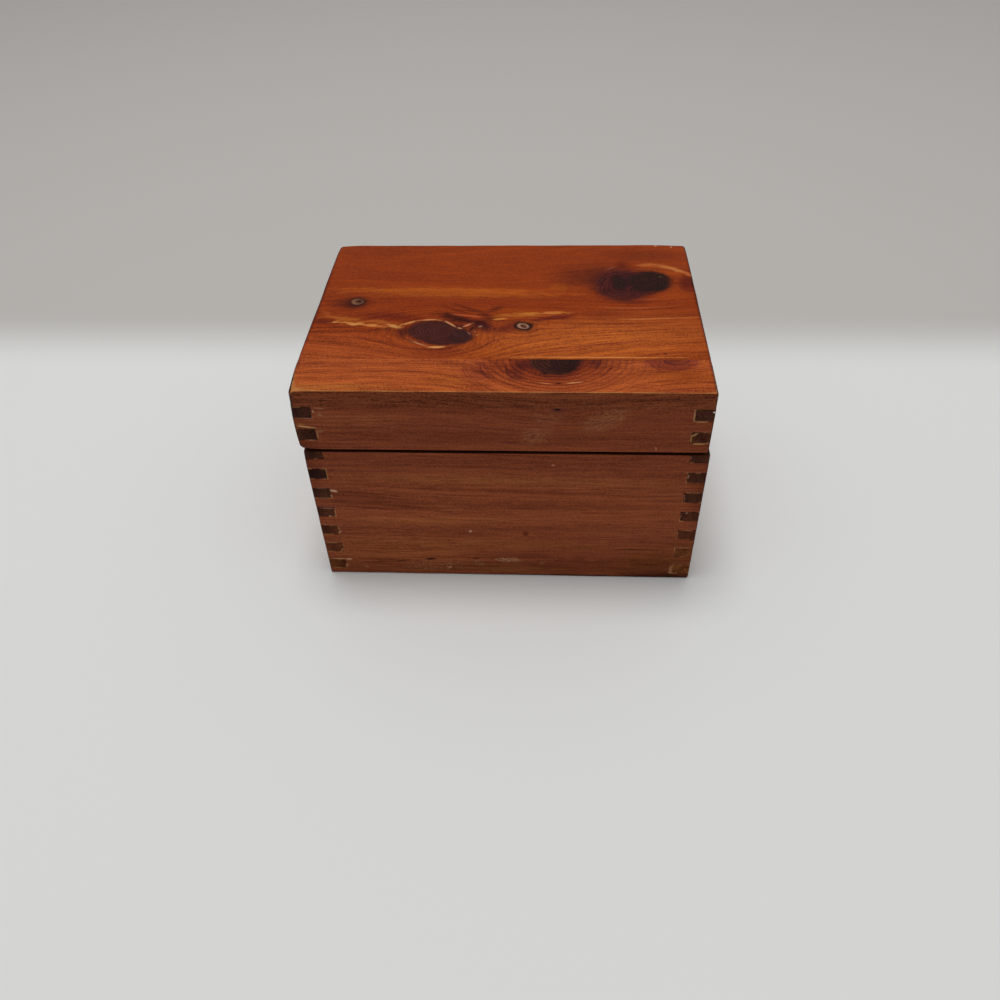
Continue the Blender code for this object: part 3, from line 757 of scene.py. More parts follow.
REAR_WISPS = (
    ((8.0, -2.9), (8.4, 1.8), 2, 0, 1.5, 0.6, "AC641E", 0.85),
    ((15.5, -2.2), (8.6, 1.1), 5, 0, 1.3, 0.5, "B46A2C", 0.9),
    ((-1.0, -4.1), (6.5, 1.9), 6, 0, 0.8, 0.8, "A6581C", 0.6),
    ((-2.2, -6.4), (3.8, 0.8), 8, 0, 0.6, 0.5, "BE7630", 0.85),
    ((-13.5, -4.2), (8.0, 1.2), -11, 0, 0.8, 0.7, "AA4C20", 0.85),
    ((-69.5, -1.8), (3.6, 1.6), -34, 0, 0.9, 1.0, "A4521E", 0.4),
    ((-66.0, -5.4), (5.0, 1.0), -30, 0, 0.9, 1.0, "A4521E", 0.5),
    ((-60.0, -7.4), (10.0, 2.6), -14, 0, 1.6, 0.8, "A2581E", 0.65),
    ((-47.0, -8.8), (9.0, 1.8), -8, 0, 1.6, 0.8, "A2561E", 0.6),
    ((-51.5, -10.7), (13.5, 1.7), -6, 0, 1.8, 0.7, "A8602A", 0.85),
    ((-57.5, -9.8), (6.6, 1.2), -8, 0, 1.8, 0.7, "B87A3A", 0.95),
    ((-50.0, -11.2), (4.6, 1.0), -4, 0, 1.8, 0.6, "BA7436", 0.95),
    ((-42.8, -11.0), (4.0, 1.0), -26, 0, 1.6, 0.7, "B87E42", 0.95),
    ((56.0, 34.6), (7.4, 2.0), 0, -0.4, 0.6, 0.8, "AC5C28", 0.75),
    ((63.0, 32.9), (5.2, 1.9), -27, 0, 0.6, 0.8, "B0662E", 0.8),
    ((67.2, 30.5), (4.6, 1.7), -34, 0, 0.6, 0.8, "B46C38", 0.85),
    ((71.0, 27.6), (3.6, 1.6), -50, 0, 0.6, 0.8, "AC5C2C", 0.8),
    ((40.2, 31.8), (3.6, 0.8), 36, 0, 0.2, 0.9, "90503C", 0.7),
    ((53.0, 7.9), (7.5, 0.8), 2, 0.8, 0.4, 1.0, "A0502A", 0.7),
    ((49.0, 1.6), (20.0, 0.5), 2, 5.0, 0.5, 0.9, "A4562E", 0.7),
    ((49.0, -1.0), (22.0, 0.4), 2, 5.0, 0.5, 0.9, "9E4E24", 0.5),
    ((55.0, -5.9), (20.0, 0.6), 3.4, 0, 0.6, 0.9, "BC6E34", 0.7),
    # A pale line just behind the glue line.
    ((33.0, -31.3), (44.0, 0.5), 0, 0, 0.3, 0.7, "CC8444", 0.7),
    # These two small pale spots on the back edge are painted highlights.
    ((60.2, 51.0), (0.8, 1.0), 0, 0, 0.2, 0.6, "B88A60", 0.6),
    ((66.6, 50.0), (0.6, 1.1), 0, 0, 0.2, 0.6, "B88A60", 0.6),
    ((57.0, -29.0), (0.9, 0.7), 0, 0, 0.2, 0.6, "38140A", 0.8),
)
REAR_RIMS = (
    ((-36.4, -9.2), (3.4, 0.9), 27, 0, 0.6, 0.6, "BA783E", 0.9),
    ((-28.8, -7.0), (6.8, 0.6), 2, -1.9, 0.9, 0.6, "C08250", 0.9),
    ((-20.4, -10.2), (4.4, 0.7), -44, -0.4, 0.5, 0.6, "BC7E50", 0.9),
    ((-17.2, -12.7), (1.8, 0.8), -20, 0, 0.5, 0.8, "BC8058", 0.9),
    ((-14.4, -10.7), (3.6, 0.8), 36, 0, 0.8, 0.6, "BA7450", 0.9),
    ((-31.6, -22.9), (5.6, 0.5), -27, 0, 0.5, 0.7, "A87454", 0.85),
    ((-24.6, -25.4), (4.6, 0.9), 2, 0.4, 0.7, 0.6, "C88A4C", 0.95),
    ((-38.4, -16.5), (0.9, 5.6), 22, 0, 0.5, 0.9, "3A100C", 0.6),
    ((-34.6, -21.4), (5.6, 0.6), -36, 0, 0.4, 0.9, "3A100C", 0.7),
    ((-13.4, -16.2), (1.7, 0.35), -52, -0.6, 0.1, 0.8, "8E6050", 0.8),
    ((-12.6, -13.0), (0.8, 3.0), -22, 0, 0.2, 0.8, "1C0705", 0.9),
    ((-9.7, -11.6), (1.4, 1.0), 20, 0, 0.6, 0.8, "9A7458", 0.8),
    ((-10.3, -17.2), (1.1, 0.6), 30, 0, 0.2, 0.7, "A4643C", 0.8),
    ((-11.3, -14.9), (0.6, 0.9), 0, 0, 0.2, 0.7, "985A3C", 0.7),
    # A painted glint of light on the black knot.
    ((59.9, 25.2), (0.6, 0.45), 0, 0, 0.1, 0.8, "6A5A38", 0.8),
    ((-58.2, 5.6), (6.0, 5.6), 0, 0, 0.3, 1.0, "3A1408", 0.85),
    ((-58.2, 5.9), (3.9, 3.6), 0, 0, 0.3, 0.45, "2E100A", 0.85),
    ((-58.4, 5.9), (2.8, 2.4), 0, 0, 0.3, 0.4, "845A40", 0.85),
    ((-57.9, 6.1), (2.1, 1.9), 0, 0, 0.3, 0.4, "4E2C1E", 0.9),
    ((-57.7, 6.2), (1.0, 1.1), 0, 0, 0.2, 0.6, "180805", 0.95),
    ((6.6, -11.5), (6.4, 5.4), -20, 0, 0.3, 0.8, "2E0C06", 0.85),
    ((6.4, -11.3), (4.3, 3.7), -20, 0, 0.4, 0.5, "200A06", 0.85),
    ((6.3, -11.2), (2.6, 2.1), -40, 0, 0.3, 0.35, "98705A", 0.95),
    ((6.5, -11.3), (1.8, 1.15), -50, 0, 0.2, 0.35, "381610", 0.95),
    ((6.7, -11.3), (0.9, 0.5), -50, 0, 0.1, 0.5, "783820", 0.8),
)
BLACK_KNOT = (PURPLE, "180704", "34140C")
PURPLE_KNOT = (RUSSET, "2A0808", "561E16")
BROWN_KNOT = (PURPLE, "2E0E0B", "50211A")
GREY_KNOT = (PURPLE, "240C0A", "48221E")
SWIRL = (PURPLE, "5A2010", "8A3A18")
SPLIT_KNOT = (PURPLE, "1A0704", "4E2218")

# Planed cedar under a rubbed varnish: the film deepens the colour and lies over it with a low satin shine.
cedar_rear, tree, shader = new_material("varnished_cedar_knotty")
point = board_point(tree, "level")
flowing, swelling = part_grain(tree, point, REAR_KNOTS)
sides = add(tree, "SeparateXYZ", [point]).node.outputs
lively = add(tree, "MapRange", {"Value": sides["Y"], "From Min": 12.0, "From Max": -10.0},
             interpolation_type="SMOOTHSTEP")
lines = add(tree, "MapRange", {"Value": lively, "To Min": 0.15, "To Max": 1.1})
fibres = add(tree, "MapRange", {"Value": lively, "To Min": 0.55, "To Max": 0.8})
specks = add(tree, "MapRange", {"Value": lively, "To Min": 0.8, "To Max": 0.9})
figure = figure_at(tree, flowing, (0.0, 40.0, 50.0), (31.0, 7.0, 2.0), swelling, streaks=fibres, bands=0.4,
                   fibres=fibres, specks=specks)
colour = lay_marks(tree, linear("A04006"), point, figure, REAR_GROUND)
colour = lay_figure(tree, colour, figure, RUSSET, lines)
colour = lay_marks(tree, colour, point, figure, REAR_STAINS, "MULTIPLY")
colour = lay_marks(tree, colour, point, figure, REAR_WISPS)
colour = lay_knot(tree, colour, point, figure, (45.0, 18.8), (11.6, 12.0), 12, 1.9, PURPLE_KNOT, 1.5, 0.25,
                  0.15)
colour = lay_knot(tree, colour, point, figure, (43.4, 20.4), (2.6, 5.4), 4, 1.4, BLACK_KNOT, 1.6, 0.5)
colour = lay_knot(tree, colour, point, figure, (55.4, 21.3), (8.2, 8.0), 0, 1.5, BLACK_KNOT, 1.35, 0.12)
colour = lay_knot(tree, colour, point, figure, (-24.4, -16.0), (11.6, 7.4), -18, 1.4, BROWN_KNOT, 1.3, 0.06)
colour = lay_knot(tree, colour, point, figure, (-16.0, -18.4), (4.2, 3.6), -20, 1.2, GREY_KNOT, 1.1, 0.4)
colour = lay_marks(tree, colour, point, figure, REAR_RIMS)
# Darker rounded edges: partly wear, partly painted shade where the edges turn down.
colour = lay_edge_wear_and_painted_light(tree, colour, figure, "6A2C10", 0.7)
varnish(tree, shader, colour, figure)
print("the rear board's material has", len(tree.nodes), "nodes")

# %% [markdown]
# ## The front top board
#
# This narrow board comes from beside a branch, so its rings swell into closed ovals round half a knot,
# which the glue line cuts flat.

# %% Finish the front top board
FRONT_TOP_KNOTS = (
    ((18.5, -33.0), (15.0, 15.5), 0, 0.0, 0.0, 34.0),
    ((60.0, -31.0), (9.0, 5.5), 0, 0.0, 0.0, 10.0),
    ((-34.0, -43.0), (22.0, 8.0), 8, 0.0, 3.0, 0.0),
)
FRONT_TOP_GROUND = (
    ((16.0, -35.0), (32.0, 19.0), 0, 0, 0.2, 0.7, "9C4014", 1.0),
    ((62.0, -42.0), (24.0, 8.0), 0, 0, 0.3, 1.0, "A44C10", 0.8),
    # A pale band along the front edge at the left: a painted highlight on its rounded edge.
    ((-58.0, -49.5), (32.0, 3.0), 0, 0, 0.4, 1.0, "D07C34", 0.8),
    ((-18.0, -46.0), (12.0, 6.0), 0, 0, 0.4, 1.0, "C06C1C", 0.4),
)
FRONT_TOP_STAINS = (
    ((6.5, -36.5), (5.0, 6.5), 10, 0, 0.2, 1.0, PURPLE, 0.8),
    ((4.5, -42.0), (4.4, 7.0), 15, 0, 0.2, 1.0, PURPLE, 0.6),
    ((32.5, -35.5), (5.0, 4.6), 0, 0, 0.2, 1.0, PURPLE, 0.75),
    ((58.5, -32.6), (10.5, 8.0), 0, 0, 0.1, 0.25, RUSSET, 0.7),
    ((59.5, -34.2), (4.4, 2.0), 0, 0, 0.3, 0.9, PURPLE, 0.7),
    ((-8.0, -41.0), (9.0, 12.0), 0, 0, 0.3, 1.0, RUSSET, 0.5),
    ((1.4, -40.0), (6.5, 0.45), -74, 5.0, 0.4, 0.9, PURPLE, 0.8),
    ((-7.5, -39.5), (7.5, 0.4), -72, 6.0, 0.4, 0.9, PURPLE, 0.8),
    ((-13.5, -40.5), (8.0, 0.35), -70, 6.0, 0.4, 0.9, RUSSET, 0.9),
    ((37.0, -38.5), (6.0, 0.4), 68, 6.0, 0.4, 0.9, RUSSET, 0.9),
    ((44.5, -39.5), (6.5, 0.35), 64, 6.0, 0.4, 0.9, RUSSET, 0.8),
    ((52.5, -37.5), (6.0, 0.4), -55, 5.0, 0.4, 0.9, RUSSET, 1.0),
    ((-34.0, -40.2), (20.0, 0.4), 0, -3.5, 0.5, 0.9, RUSSET, 0.8),
    ((-58.0, -37.4), (9.0, 0.35), -4, -6.0, 0.5, 0.9, RUSSET, 0.8),
    ((-58.0, -46.6), (10.0, 0.35), 2, 5.0, 0.5, 0.9, RUSSET, 0.7),
    # These two rows darken the left and right edges of the top: painted shade on the rounded edges.
    ((-73.6, -40.0), (2.0, 62.0), 0, 0, 0.2, 0.8, PURPLE, 0.85),
    ((72.7, -40.0), (1.7, 62.0), 0, 0, 0.2, 0.8, PURPLE, 0.9),
)
FRONT_TOP_MARKS = (
    ((59.8, -32.9), (2.8, 1.0), 0, 0, 0.2, 0.7, "30100A", 0.9),
    ((25.0, -46.5), (4.2, 0.45), 8, 0, 0.5, 0.8, "CC8E5C", 0.9),
    ((14.6, -47.0), (3.6, 0.4), -8, 0, 0.3, 0.8, "C07A48", 0.8),
    ((19.2, -47.0), (1.4, 0.7), 0, 0, 0.2, 0.7, "38100A", 0.9),
    ((33.0, -32.9), (44.0, 0.4), 0, 0, 0.3, 0.7, "38120A", 0.8),
)

# The same planed and varnished cedar, paler, with a gold front edge where hands lift the lid: partly worn
# varnish, partly a painted highlight.
cedar_front_top, tree, shader = new_material("varnished_cedar_swirled")
point = board_point(tree, "level")
flowing, swelling = part_grain(tree, point, FRONT_TOP_KNOTS)
figure = figure_at(tree, flowing, (0.0, -120.0, 60.0), (13.0, 3.0, 8.0), swelling, ring_width=4.0,
                   wander=6.0, streaks=0.8, fibres=1.1, specks=1.1)
colour = lay_marks(tree, linear("BE5E28"), point, figure, FRONT_TOP_GROUND)
colour = lay_figure(tree, colour, figure, "9878D0", 0.55)
colour = lay_marks(tree, colour, point, figure, FRONT_TOP_STAINS, "MULTIPLY")
colour = lay_marks(tree, colour, point, figure, FRONT_TOP_MARKS)
colour = lay_knot(tree, colour, point, figure, (18.0, -33.6), (9.2, 6.6), 0, 2.3, SWIRL, 5.4, 0.1, 0.0, 0.7)
colour = lay_knot(tree, colour, point, figure, (60.5, -32.6), (3.4, 2.6), 0, 4.4, SWIRL, 4.4, 0.3, 0.0, 0.7)
colour = lay_knot(tree, colour, point, figure, (18.0, -32.6), (9.0, 9.8), 0, 1.5, SPLIT_KNOT, 1.5, 0.07)
colour = lay_knot(tree, colour, point, figure, (21.5, -34.5), (4.8, 5.8), 0, 1.5, BLACK_KNOT, 1.1, 0.4)
# The pale front edge: partly worn varnish, partly a painted highlight.
colour = lay_edge_wear_and_painted_light(tree, colour, figure, "B47840", 0.9)
varnish(tree, shader, colour, figure)
print("the front board's material has", len(tree.nodes), "nodes")

# %% [markdown]
# ## Glue in the joints
#
# Finger joints leave marks: squeezed-out glue and filler dry as thin tan lines along the fingers, here
# and there, and dirt settles in the rest. A group measures how far a point is from the nearest line
# where two boards meet. Heights count in fingers from the foot of the uncut frame, so the lines lie
# exactly on the modelled joints. A finger's inner end is a seam only where the end of the other wall
# shows, so the group also asks whether those are the odd or the even fingers.

# %% Make the seam group
SEAM_REACH = 0.32            # millimetres that a line of glue is wide on either side
SEAM_FULL = 0.1              # millimetres from the joint within which the line is strongest
SAME_PARITY = 0.1            # odd is 1 and even is 0, so any half-way allowance tells them apart
GLUE_CLOUDS = {"Scale": 0.25, "Detail": 4.0, "Roughness": 0.7}
GLUE_FROM, GLUE_FULL, GLUE_SHARE = 0.48, 0.58, 0.85
DIRT_FROM, DIRT_FULL, DIRT_SHARE = 0.48, 0.4, 0.8
joint, given, result = new_group(
    "finger_seams", {"Float": ("Along", "Height", "Half Length", "Base Middle", "Lid Middle", "First Own")},
    ("Seam",))
in_lid = add(joint, "Math", [given["Height"], axis_z / MM], operation="GREATER_THAN")
drop = add(joint, "Math", [in_lid, (foot["lid"] - foot["base"]) / MM, foot["base"] / MM],
           operation="MULTIPLY_ADD")
height = add(joint, "Math", [given["Height"], drop], operation="SUBTRACT")
fingers = add(joint, "Math", [height, MM / FINGER], operation="MULTIPLY")
whole = add(joint, "Math", [fingers], operation="ROUND")
part = add(joint, "Math", [fingers, whole], operation="SUBTRACT")
part = add(joint, "Math", [part], operation="ABSOLUTE")
level_gap = add(joint, "Math", [part, FINGER / MM], operation="MULTIPLY")
hang = add(joint, "Math", [given["Lid Middle"], given["Base Middle"]], operation="SUBTRACT")
middle = add(joint, "Math", [in_lid, hang, given["Base Middle"]], operation="MULTIPLY_ADD")
from_middle = add(joint, "Math", [given["Along"], middle], operation="SUBTRACT")
from_middle = add(joint, "Math", [from_middle], operation="ABSOLUTE")
from_end = add(joint, "Math", [given["Half Length"], from_middle], operation="SUBTRACT")
past_joint = add(joint, "Math", [from_end, WALL / MM], operation="SUBTRACT")
end_gap = add(joint, "Math", [past_joint], operation="ABSOLUTE")
in_joint = add(joint, "Math", [past_joint, SEAM_REACH], operation="LESS_THAN")
number = add(joint, "Math", [fingers], operation="FLOOR")
odd = add(joint, "Math", [number, 2.0], operation="FLOORED_MODULO")
other = add(joint, "Math", [odd, given["First Own"], SAME_PARITY], operation="COMPARE")
level_seam = add(joint, "MapRange", {"Value": level_gap, "From Min": SEAM_REACH, "From Max": SEAM_FULL})
level_seam = add(joint, "Math", [level_seam, in_joint], operation="MULTIPLY")
end_seam = add(joint, "MapRange", {"Value": end_gap, "From Min": SEAM_REACH, "From Max": SEAM_FULL})
end_seam = add(joint, "Math", [end_seam, other], operation="MULTIPLY")
seam = add(joint, "Math", [level_seam, end_seam], operation="MAXIMUM")
joint.links.new(seam, result["Seam"])


def lay_glue(tree, colour, point, long, tan="A8744A", dirt="240C08"):
    """Lay tan glue and dark dirt along the finger joints; long is the axis along the wall's face."""
    parts = add(tree, "SeparateXYZ", [point]).node.outputs
    middles = [(low[long] + high[long]) / 2 / MM for low, high in (outer["base"], outer["lid"])]
    half = (outer["base"][1][long] - outer["base"][0][long]) / 2 / MM
    seam = add(tree, "Group", {"Along": parts["X"], "Height": parts["Y"], "Half Length": half,
                               "Base Middle": middles[0], "Lid Middle": middles[1],
                               "First Own": float(long)}, node_tree=joint)
    patchy = add(tree, "TexNoise", {"Vector": point, **GLUE_CLOUDS}, out="Fac")
    glued = add(tree, "MapRange", {"Value": patchy, "From Min": GLUE_FROM, "From Max": GLUE_FULL,
                                   "To Max": GLUE_SHARE})
    dirty = add(tree, "MapRange", {"Value": patchy, "From Min": DIRT_FROM, "From Max": DIRT_FULL,
                                   "To Max": DIRT_SHARE})
    for patch, shade in ((glued, tan), (dirty, dirt)):
        mask = add(tree, "Math", [seam, patch], operation="MULTIPLY")
        colour = add(tree, "Mix", {"Factor": mask, MIX_A: colour, MIX_B: linear(shade)}, **COLOUR_MIX)
    return colour


# %% [markdown]
# ## The front walls
#
# The front is quieter: long even bands, one pointed cathedral at the left, a dark shake low down, and
# the scuffs and flecks of long use. The lid and the base were one board, so they share one material
# and the figure runs on from one to the other. Glue and filler have dried round some fingers, and
# those marks run over both boards of a joint, so they are one list that both use.

# %% Finish the front walls
FRONT_KNOTS = (
    ((20.0, 85.5), (16.0, 5.0), 0, 0.7, 0.0, 0.0),
    ((-66.0, 41.0), (26.0, 5.5), -3, 0.0, 0.0, 4.5),
)
UMBER, OLIVE = "C8B6AE", "B8BCA8"   # what the brown and the olive stains let through
FRONT_GROUND = (
    ((0.0, 40.0), (120.0, 26.0), 0, 0, 0.2, 1.0, "AD5E38", 0.9),
    ((0.0, 52.0), (95.0, 3.4), -1, 0, 0.3, 1.0, "B4703C", 0.5),
    ((-30.0, 31.0), (50.0, 3.5), 2, 0, 0.4, 1.0, "B46C3A", 0.5),
    ((0.0, 18.0), (80.0, 4.0), 0, 0, 0.4, 1.0, "AC6636", 0.5),
    ((-40.0, 14.0), (60.0, 20.0), 0, 0, 0.4, 1.0, "B4683A", 0.8),
    ((60.0, 12.0), (26.0, 12.0), 8, 0, 0.4, 1.0, "8E4E22", 0.7),
    ((0.0, 90.0), (120.0, 6.0), 0, 0, 0.3, 1.0, "8C4C2A", 0.6),
    ((-50.0, 80.0), (26.0, 5.0), 0, 0, 0.4, 1.0, "AA603A", 0.6),
    ((0.0, 4.0), (22.0, 4.0), 0, 0, 0.5, 1.0, "B4703C", 0.6),
)
FRONT_STAINS = (
    ((10.0, 46.8), (70.0, 1.8), -2, 0, 0.6, 1.0, UMBER, 0.6),
    ((-52.0, 41.0), (24.0, 4.6), -7, 0, 0.2, 0.4, UMBER, 0.5),
    ((-50.0, 45.0), (20.0, 0.5), -6, -3.0, 0.4, 0.9, UMBER, 1.0),
    ((-50.0, 37.2), (20.0, 0.5), -3, 3.0, 0.4, 0.9, UMBER, 1.0),
    ((10.0, 1.0), (130.0, 9.6), 2, -0.5, 0.8, 0.4, OLIVE, 0.4),
    ((20.0, 40.0), (60.0, 4.5), 1, 0, 0.5, 1.0, UMBER, 0.45),
    ((0.0, 72.0), (90.0, 5.0), 0, 0, 0.5, 1.0, UMBER, 0.35),
    ((30.0, 80.0), (36.0, 5.0), 0, 0, 0.5, 1.0, UMBER, 0.35),
    ((0.0, 12.5), (30.0, 2.6), 0, 0, 0.5, 1.0, UMBER, 0.45),
    ((66.0, 4.0), (26.0, 15.0), 12, 0, 0.5, 0.5, OLIVE, 0.25),
    ((-73.0, 62.0), (9.0, 34.0), 0, 0, 0.3, 1.0, UMBER, 0.8),
    ((74.0, 46.0), (8.0, 24.0), 0, 0, 0.3, 1.0, UMBER, 0.9),
    # These two rows darken the foot of the front: painted shade along the bottom edge.
    ((62.0, 0.0), (26.0, 5.0), 0, 0, 0.3, 0.9, "5A4A50", 0.8),
    ((30.0, 0.0), (60.0, 1.5), 0, 0, 0.2, 0.7, "4A3A40", 0.9),
    ((0.0, 10.6), (56.0, 0.5), 1, 0, 0.6, 0.9, UMBER, 0.8),
    ((8.0, 24.5), (1.8, 1.8), 0, 0, 0.3, 0.9, "A87C78", 0.9),
    ((19.0, 85.3), (4.5, 2.6), 0, 0, 0.3, 1.0, PURPLE, 0.7),
    ((2.0, 70.5), (6.0, 0.5), -3, 0, 0.5, 0.9, RUSSET, 0.8),
    ((12.0, 77.4), (8.0, 0.45), -4, 0, 0.5, 0.9, RUSSET, 0.9),
)
FRONT_MARKS = (
    ((-55.0, 6.6), (10.0, 0.4), 3, 0, 0.6, 0.8, "240B06", 0.8),
    ((-43.0, 7.7), (6.0, 0.55), 9, 0, 0.5, 0.8, "1E0905", 0.95),
    ((-30.5, 9.1), (3.2, 0.75), 5, 0, 0.4, 0.8, "1E0905", 0.95),
    ((-12.0, 9.9), (2.6, 0.5), 3, 0, 0.4, 0.8, "2E0E08", 0.8),
    ((51.0, 16.4), (12.0, 0.4), 1, 0, 0.6, 0.9, "341208", 0.9),
    ((19.0, 85.3), (1.5, 1.0), 0, 0, 0.3, 0.8, "160805", 0.95),
    ((18.0, 60.0), (1.0, 0.6), 0, 0, 0.2, 0.7, "B87858", 0.7),
    ((-13.6, 25.4), (0.8, 0.9), 0, 0, 0.2, 0.7, "C09478", 0.8),
    ((54.0, 68.2), (0.4, 1.1), 10, 0, 0.2, 0.7, "B07458", 0.8),
    ((-23.0, 4.3), (1.7, 0.8), 35, 0, 0.9, 0.8, "B88864", 0.8),
    ((-57.0, 4.0), (1.6, 0.8), 20, 0, 0.9, 0.8, "966A40", 0.7),
)
FINGER_MARKS = (
    ((-65.6, 83.6), (0.35, 1.0), 0, 0, 0.2, 0.6, "B08868", 0.8),
    ((-63.3, 84.9), (2.6, 0.45), -4, 0, 0.8, 0.8, "98663E", 0.9),
    ((-63.5, 82.2), (0.9, 1.2), 30, 0, 1.0, 0.8, "946040", 0.9),
    ((-68.0, 80.5), (2.6, 0.35), 0, 0, 0.3, 0.7, "90604E", 0.8),
    ((-69.3, 76.8), (4.6, 0.5), -7, 0, 0.5, 0.6, "BC8C58", 0.95),
    ((-71.0, 77.9), (2.0, 0.7), -4, 0, 0.9, 0.8, "9A6434", 0.7),
    ((-65.7, 73.2), (0.35, 2.6), 0, 0, 0.3, 0.6, "9A6C4C", 0.85),
    ((-64.4, 74.8), (1.9, 0.8), 20, 0, 1.0, 0.8, "8A5A38", 0.85),
    ((-68.2, 70.7), (2.4, 0.35), 0, 0, 0.3, 0.7, "946654", 0.8),
    ((-69.0, 47.3), (3.4, 0.35), 0, 0, 0.3, 0.7, "845846", 0.85),
    ((-64.2, 46.0), (1.9, 0.75), -14, 0, 0.5, 0.6, "C09478", 0.95),
    ((-65.5, 43.4), (0.5, 0.6), 0, 0, 0.3, 0.6, "B08468", 0.9),
    ((-69.0, 42.1), (3.2, 0.3), 0, 0, 0.3, 0.7, "7E5240", 0.7),
    ((-68.0, 36.9), (4.3, 0.35), -2, 0, 0.3, 0.7, "9A6654", 0.85),
    ((-67.8, 32.6), (0.9, 0.35), 0, 0, 0.3, 0.7, "C0A084", 0.9),
    ((-65.6, 33.0), (0.5, 0.7), -30, 0, 0.3, 0.7, "9A6A50", 0.85),
    ((-70.3, 27.7), (1.4, 0.4), 4, 0, 0.4, 0.7, "9A684C", 0.85),
    ((-65.4, 23.8), (0.45, 1.5), -38, 0, 0.2, 0.6, "A87A5C", 0.9),
    ((-68.0, 17.9), (3.2, 0.3), 0, 0, 0.4, 0.7, "7E5240", 0.7),
    ((-65.2, 16.4), (0.45, 1.0), 0, 0, 0.3, 0.7, "8E5634", 0.9),
    ((-65.9, 13.7), (0.45, 1.3), -40, 0, 0.2, 0.6, "A0683E", 0.9),
    ((-67.5, 8.4), (4.8, 0.4), 1, 0, 0.3, 0.6, "B07A52", 0.95),
    ((-63.9, 8.2), (1.6, 0.75), 12, 0, 0.4, 0.6, "B88460", 0.95),
    ((-65.2, 4.6), (0.5, 1.5), -35, 0, 0.2, 0.6, "9A6A44", 0.9),
    ((65.6, 82.7), (0.35, 2.6), 0, 0, 0.3, 0.6, "A87C54", 0.9),
    ((68.2, 80.3), (2.8, 0.35), 3, 0, 0.5, 0.6, "A87C54", 0.9),
    ((72.0, 84.5), (0.5, 0.45), 0, 0, 0.2, 0.6, "E8DCD0", 0.9),
    ((66.8, 74.6), (1.8, 0.6), 38, 0, 0.4, 0.6, "9A7048", 0.9),
    ((65.7, 72.8), (0.35, 2.6), 0, 0, 0.3, 0.6, "A07444", 0.9),
    ((68.2, 70.5), (2.8, 0.35), 0, 0, 0.4, 0.6, "A87C4C", 0.9),
    ((71.2, 71.0), (1.2, 0.3), 30, 0, 0.4, 0.7, "9A6C48", 0.8),
    ((66.7, 64.0), (0.3, 1.5), -8, 0, 0.4, 0.7, "8E5E4A", 0.7),
    ((66.9, 55.0), (0.35, 1.6), -6, 0, 0.4, 0.7, "9A7058", 0.8),
    ((66.8, 44.5), (0.3, 2.6), 6, 0, 0.4, 0.7, "8A5844", 0.8),
    ((68.5, 36.8), (0.6, 0.5), 30, 0, 0.4, 0.7, "A0745C", 0.9),
    ((66.5, 34.5), (0.3, 2.2), -14, 0, 0.4, 0.7, "8A5C40", 0.8),
    ((66.4, 25.8), (0.3, 2.2), 6, 0, 0.4, 0.7, "8E6038", 0.8),
    ((66.5, 14.8), (0.3, 2.2), 0, 0, 0.4, 0.7, "7C5028", 0.8),
    ((65.8, 5.4), (0.45, 2.7), 0, 0, 0.3, 0.6, "9E7048", 0.9),
    ((66.9, 7.9), (1.3, 0.4), 0, 0, 0.3, 0.7, "94663C", 0.85),
    ((66.0, 3.1), (1.3, 0.4), -14, 0, 0.3, 0.6, "AC7E5C", 0.9),
)
SCUFFS = (                    # centre, half sizes, tilt, fleck sizes, how sparse, colour
    ((11.5, 73.5), (7.5, 5.0), 20, (2.4, 0.5), 0.46, "946240"),
    ((15.5, 81.5), (7.5, 4.6), 0, (2.0, 0.5), 0.48, "8E5C3E"),
    ((36.0, 80.8), (12.0, 5.5), 28, (2.8, 0.5), 0.45, "946240"),
    ((66.0, 90.0), (9.0, 3.6), -20, (1.5, 0.8), 0.50, "8E6440"),
    ((1.0, 9.3), (6.5, 1.9), 0, (0.7, 1.0), 0.44, "B08C68"),
    ((-10.5, 7.5), (3.0, 2.6), 0, (0.6, 1.4), 0.50, "9A7250"),
    ((-28.0, 5.6), (18.0, 4.2), 4, (0.7, 1.2), 0.53, "A47C58"),
    ((14.5, 8.0), (1.6, 1.8), 0, (0.6, 0.9), 0.50, "98704C"),
    ((-66.0, 5.0), (9.0, 6.0), 0, (1.1, 0.8), 0.56, "7E5A30"),
    ((66.0, 18.0), (9.0, 22.0), 0, (1.1, 0.8), 0.60, "7C5434"),
)
SCUFF_FRAY = 1.2              # how far the fibres move a scuff's rim
SCUFF_REACH = 1.6             # the flecks thin out from the oval's rim to this many times its size
FLECK_RAMP, FLECK_SHARE = 0.14, 0.75


def lay_scuffs(tree, colour, point, figure, scuffs):
    """Scatter pale flecks over oval patches."""
    for centre, half, tilt, fleck, sparse, shade in scuffs:
        distance = oval_at(tree, point, centre, half, tilt)["Distance"]
        distance = add(tree, "Math", [figure["Fray"], SCUFF_FRAY, distance], operation="MULTIPLY_ADD")
        patch = add(tree, "MapRange", {"Value": distance, "From Min": SCUFF_REACH, "From Max": 1.0},
                    interpolation_type="SMOOTHSTEP")
        turned = add(tree, "VectorRotate", {"Vector": point, "Angle": math.radians(-tilt)},
                     rotation_type="Z_AXIS")
        fine = add(tree, "VectorMath", [turned, (1 / fleck[0], 1 / fleck[1], 0.0)], operation="MULTIPLY")
        flecks = add(tree, "TexNoise", {"Vector": fine, "Scale": 1.0, "Detail": 3.0, "Roughness": 0.7},
                     out="Fac")
        flecks = add(tree, "MapRange", {"Value": flecks, "From Min": sparse, "From Max": sparse + FLECK_RAMP,
                                        "To Max": FLECK_SHARE})
        mask = add(tree, "Math", [patch, flecks], operation="MULTIPLY")
        colour = add(tree, "Mix", {"Factor": mask, MIX_A: colour, MIX_B: linear(shade)}, **COLOUR_MIX)
    return colour
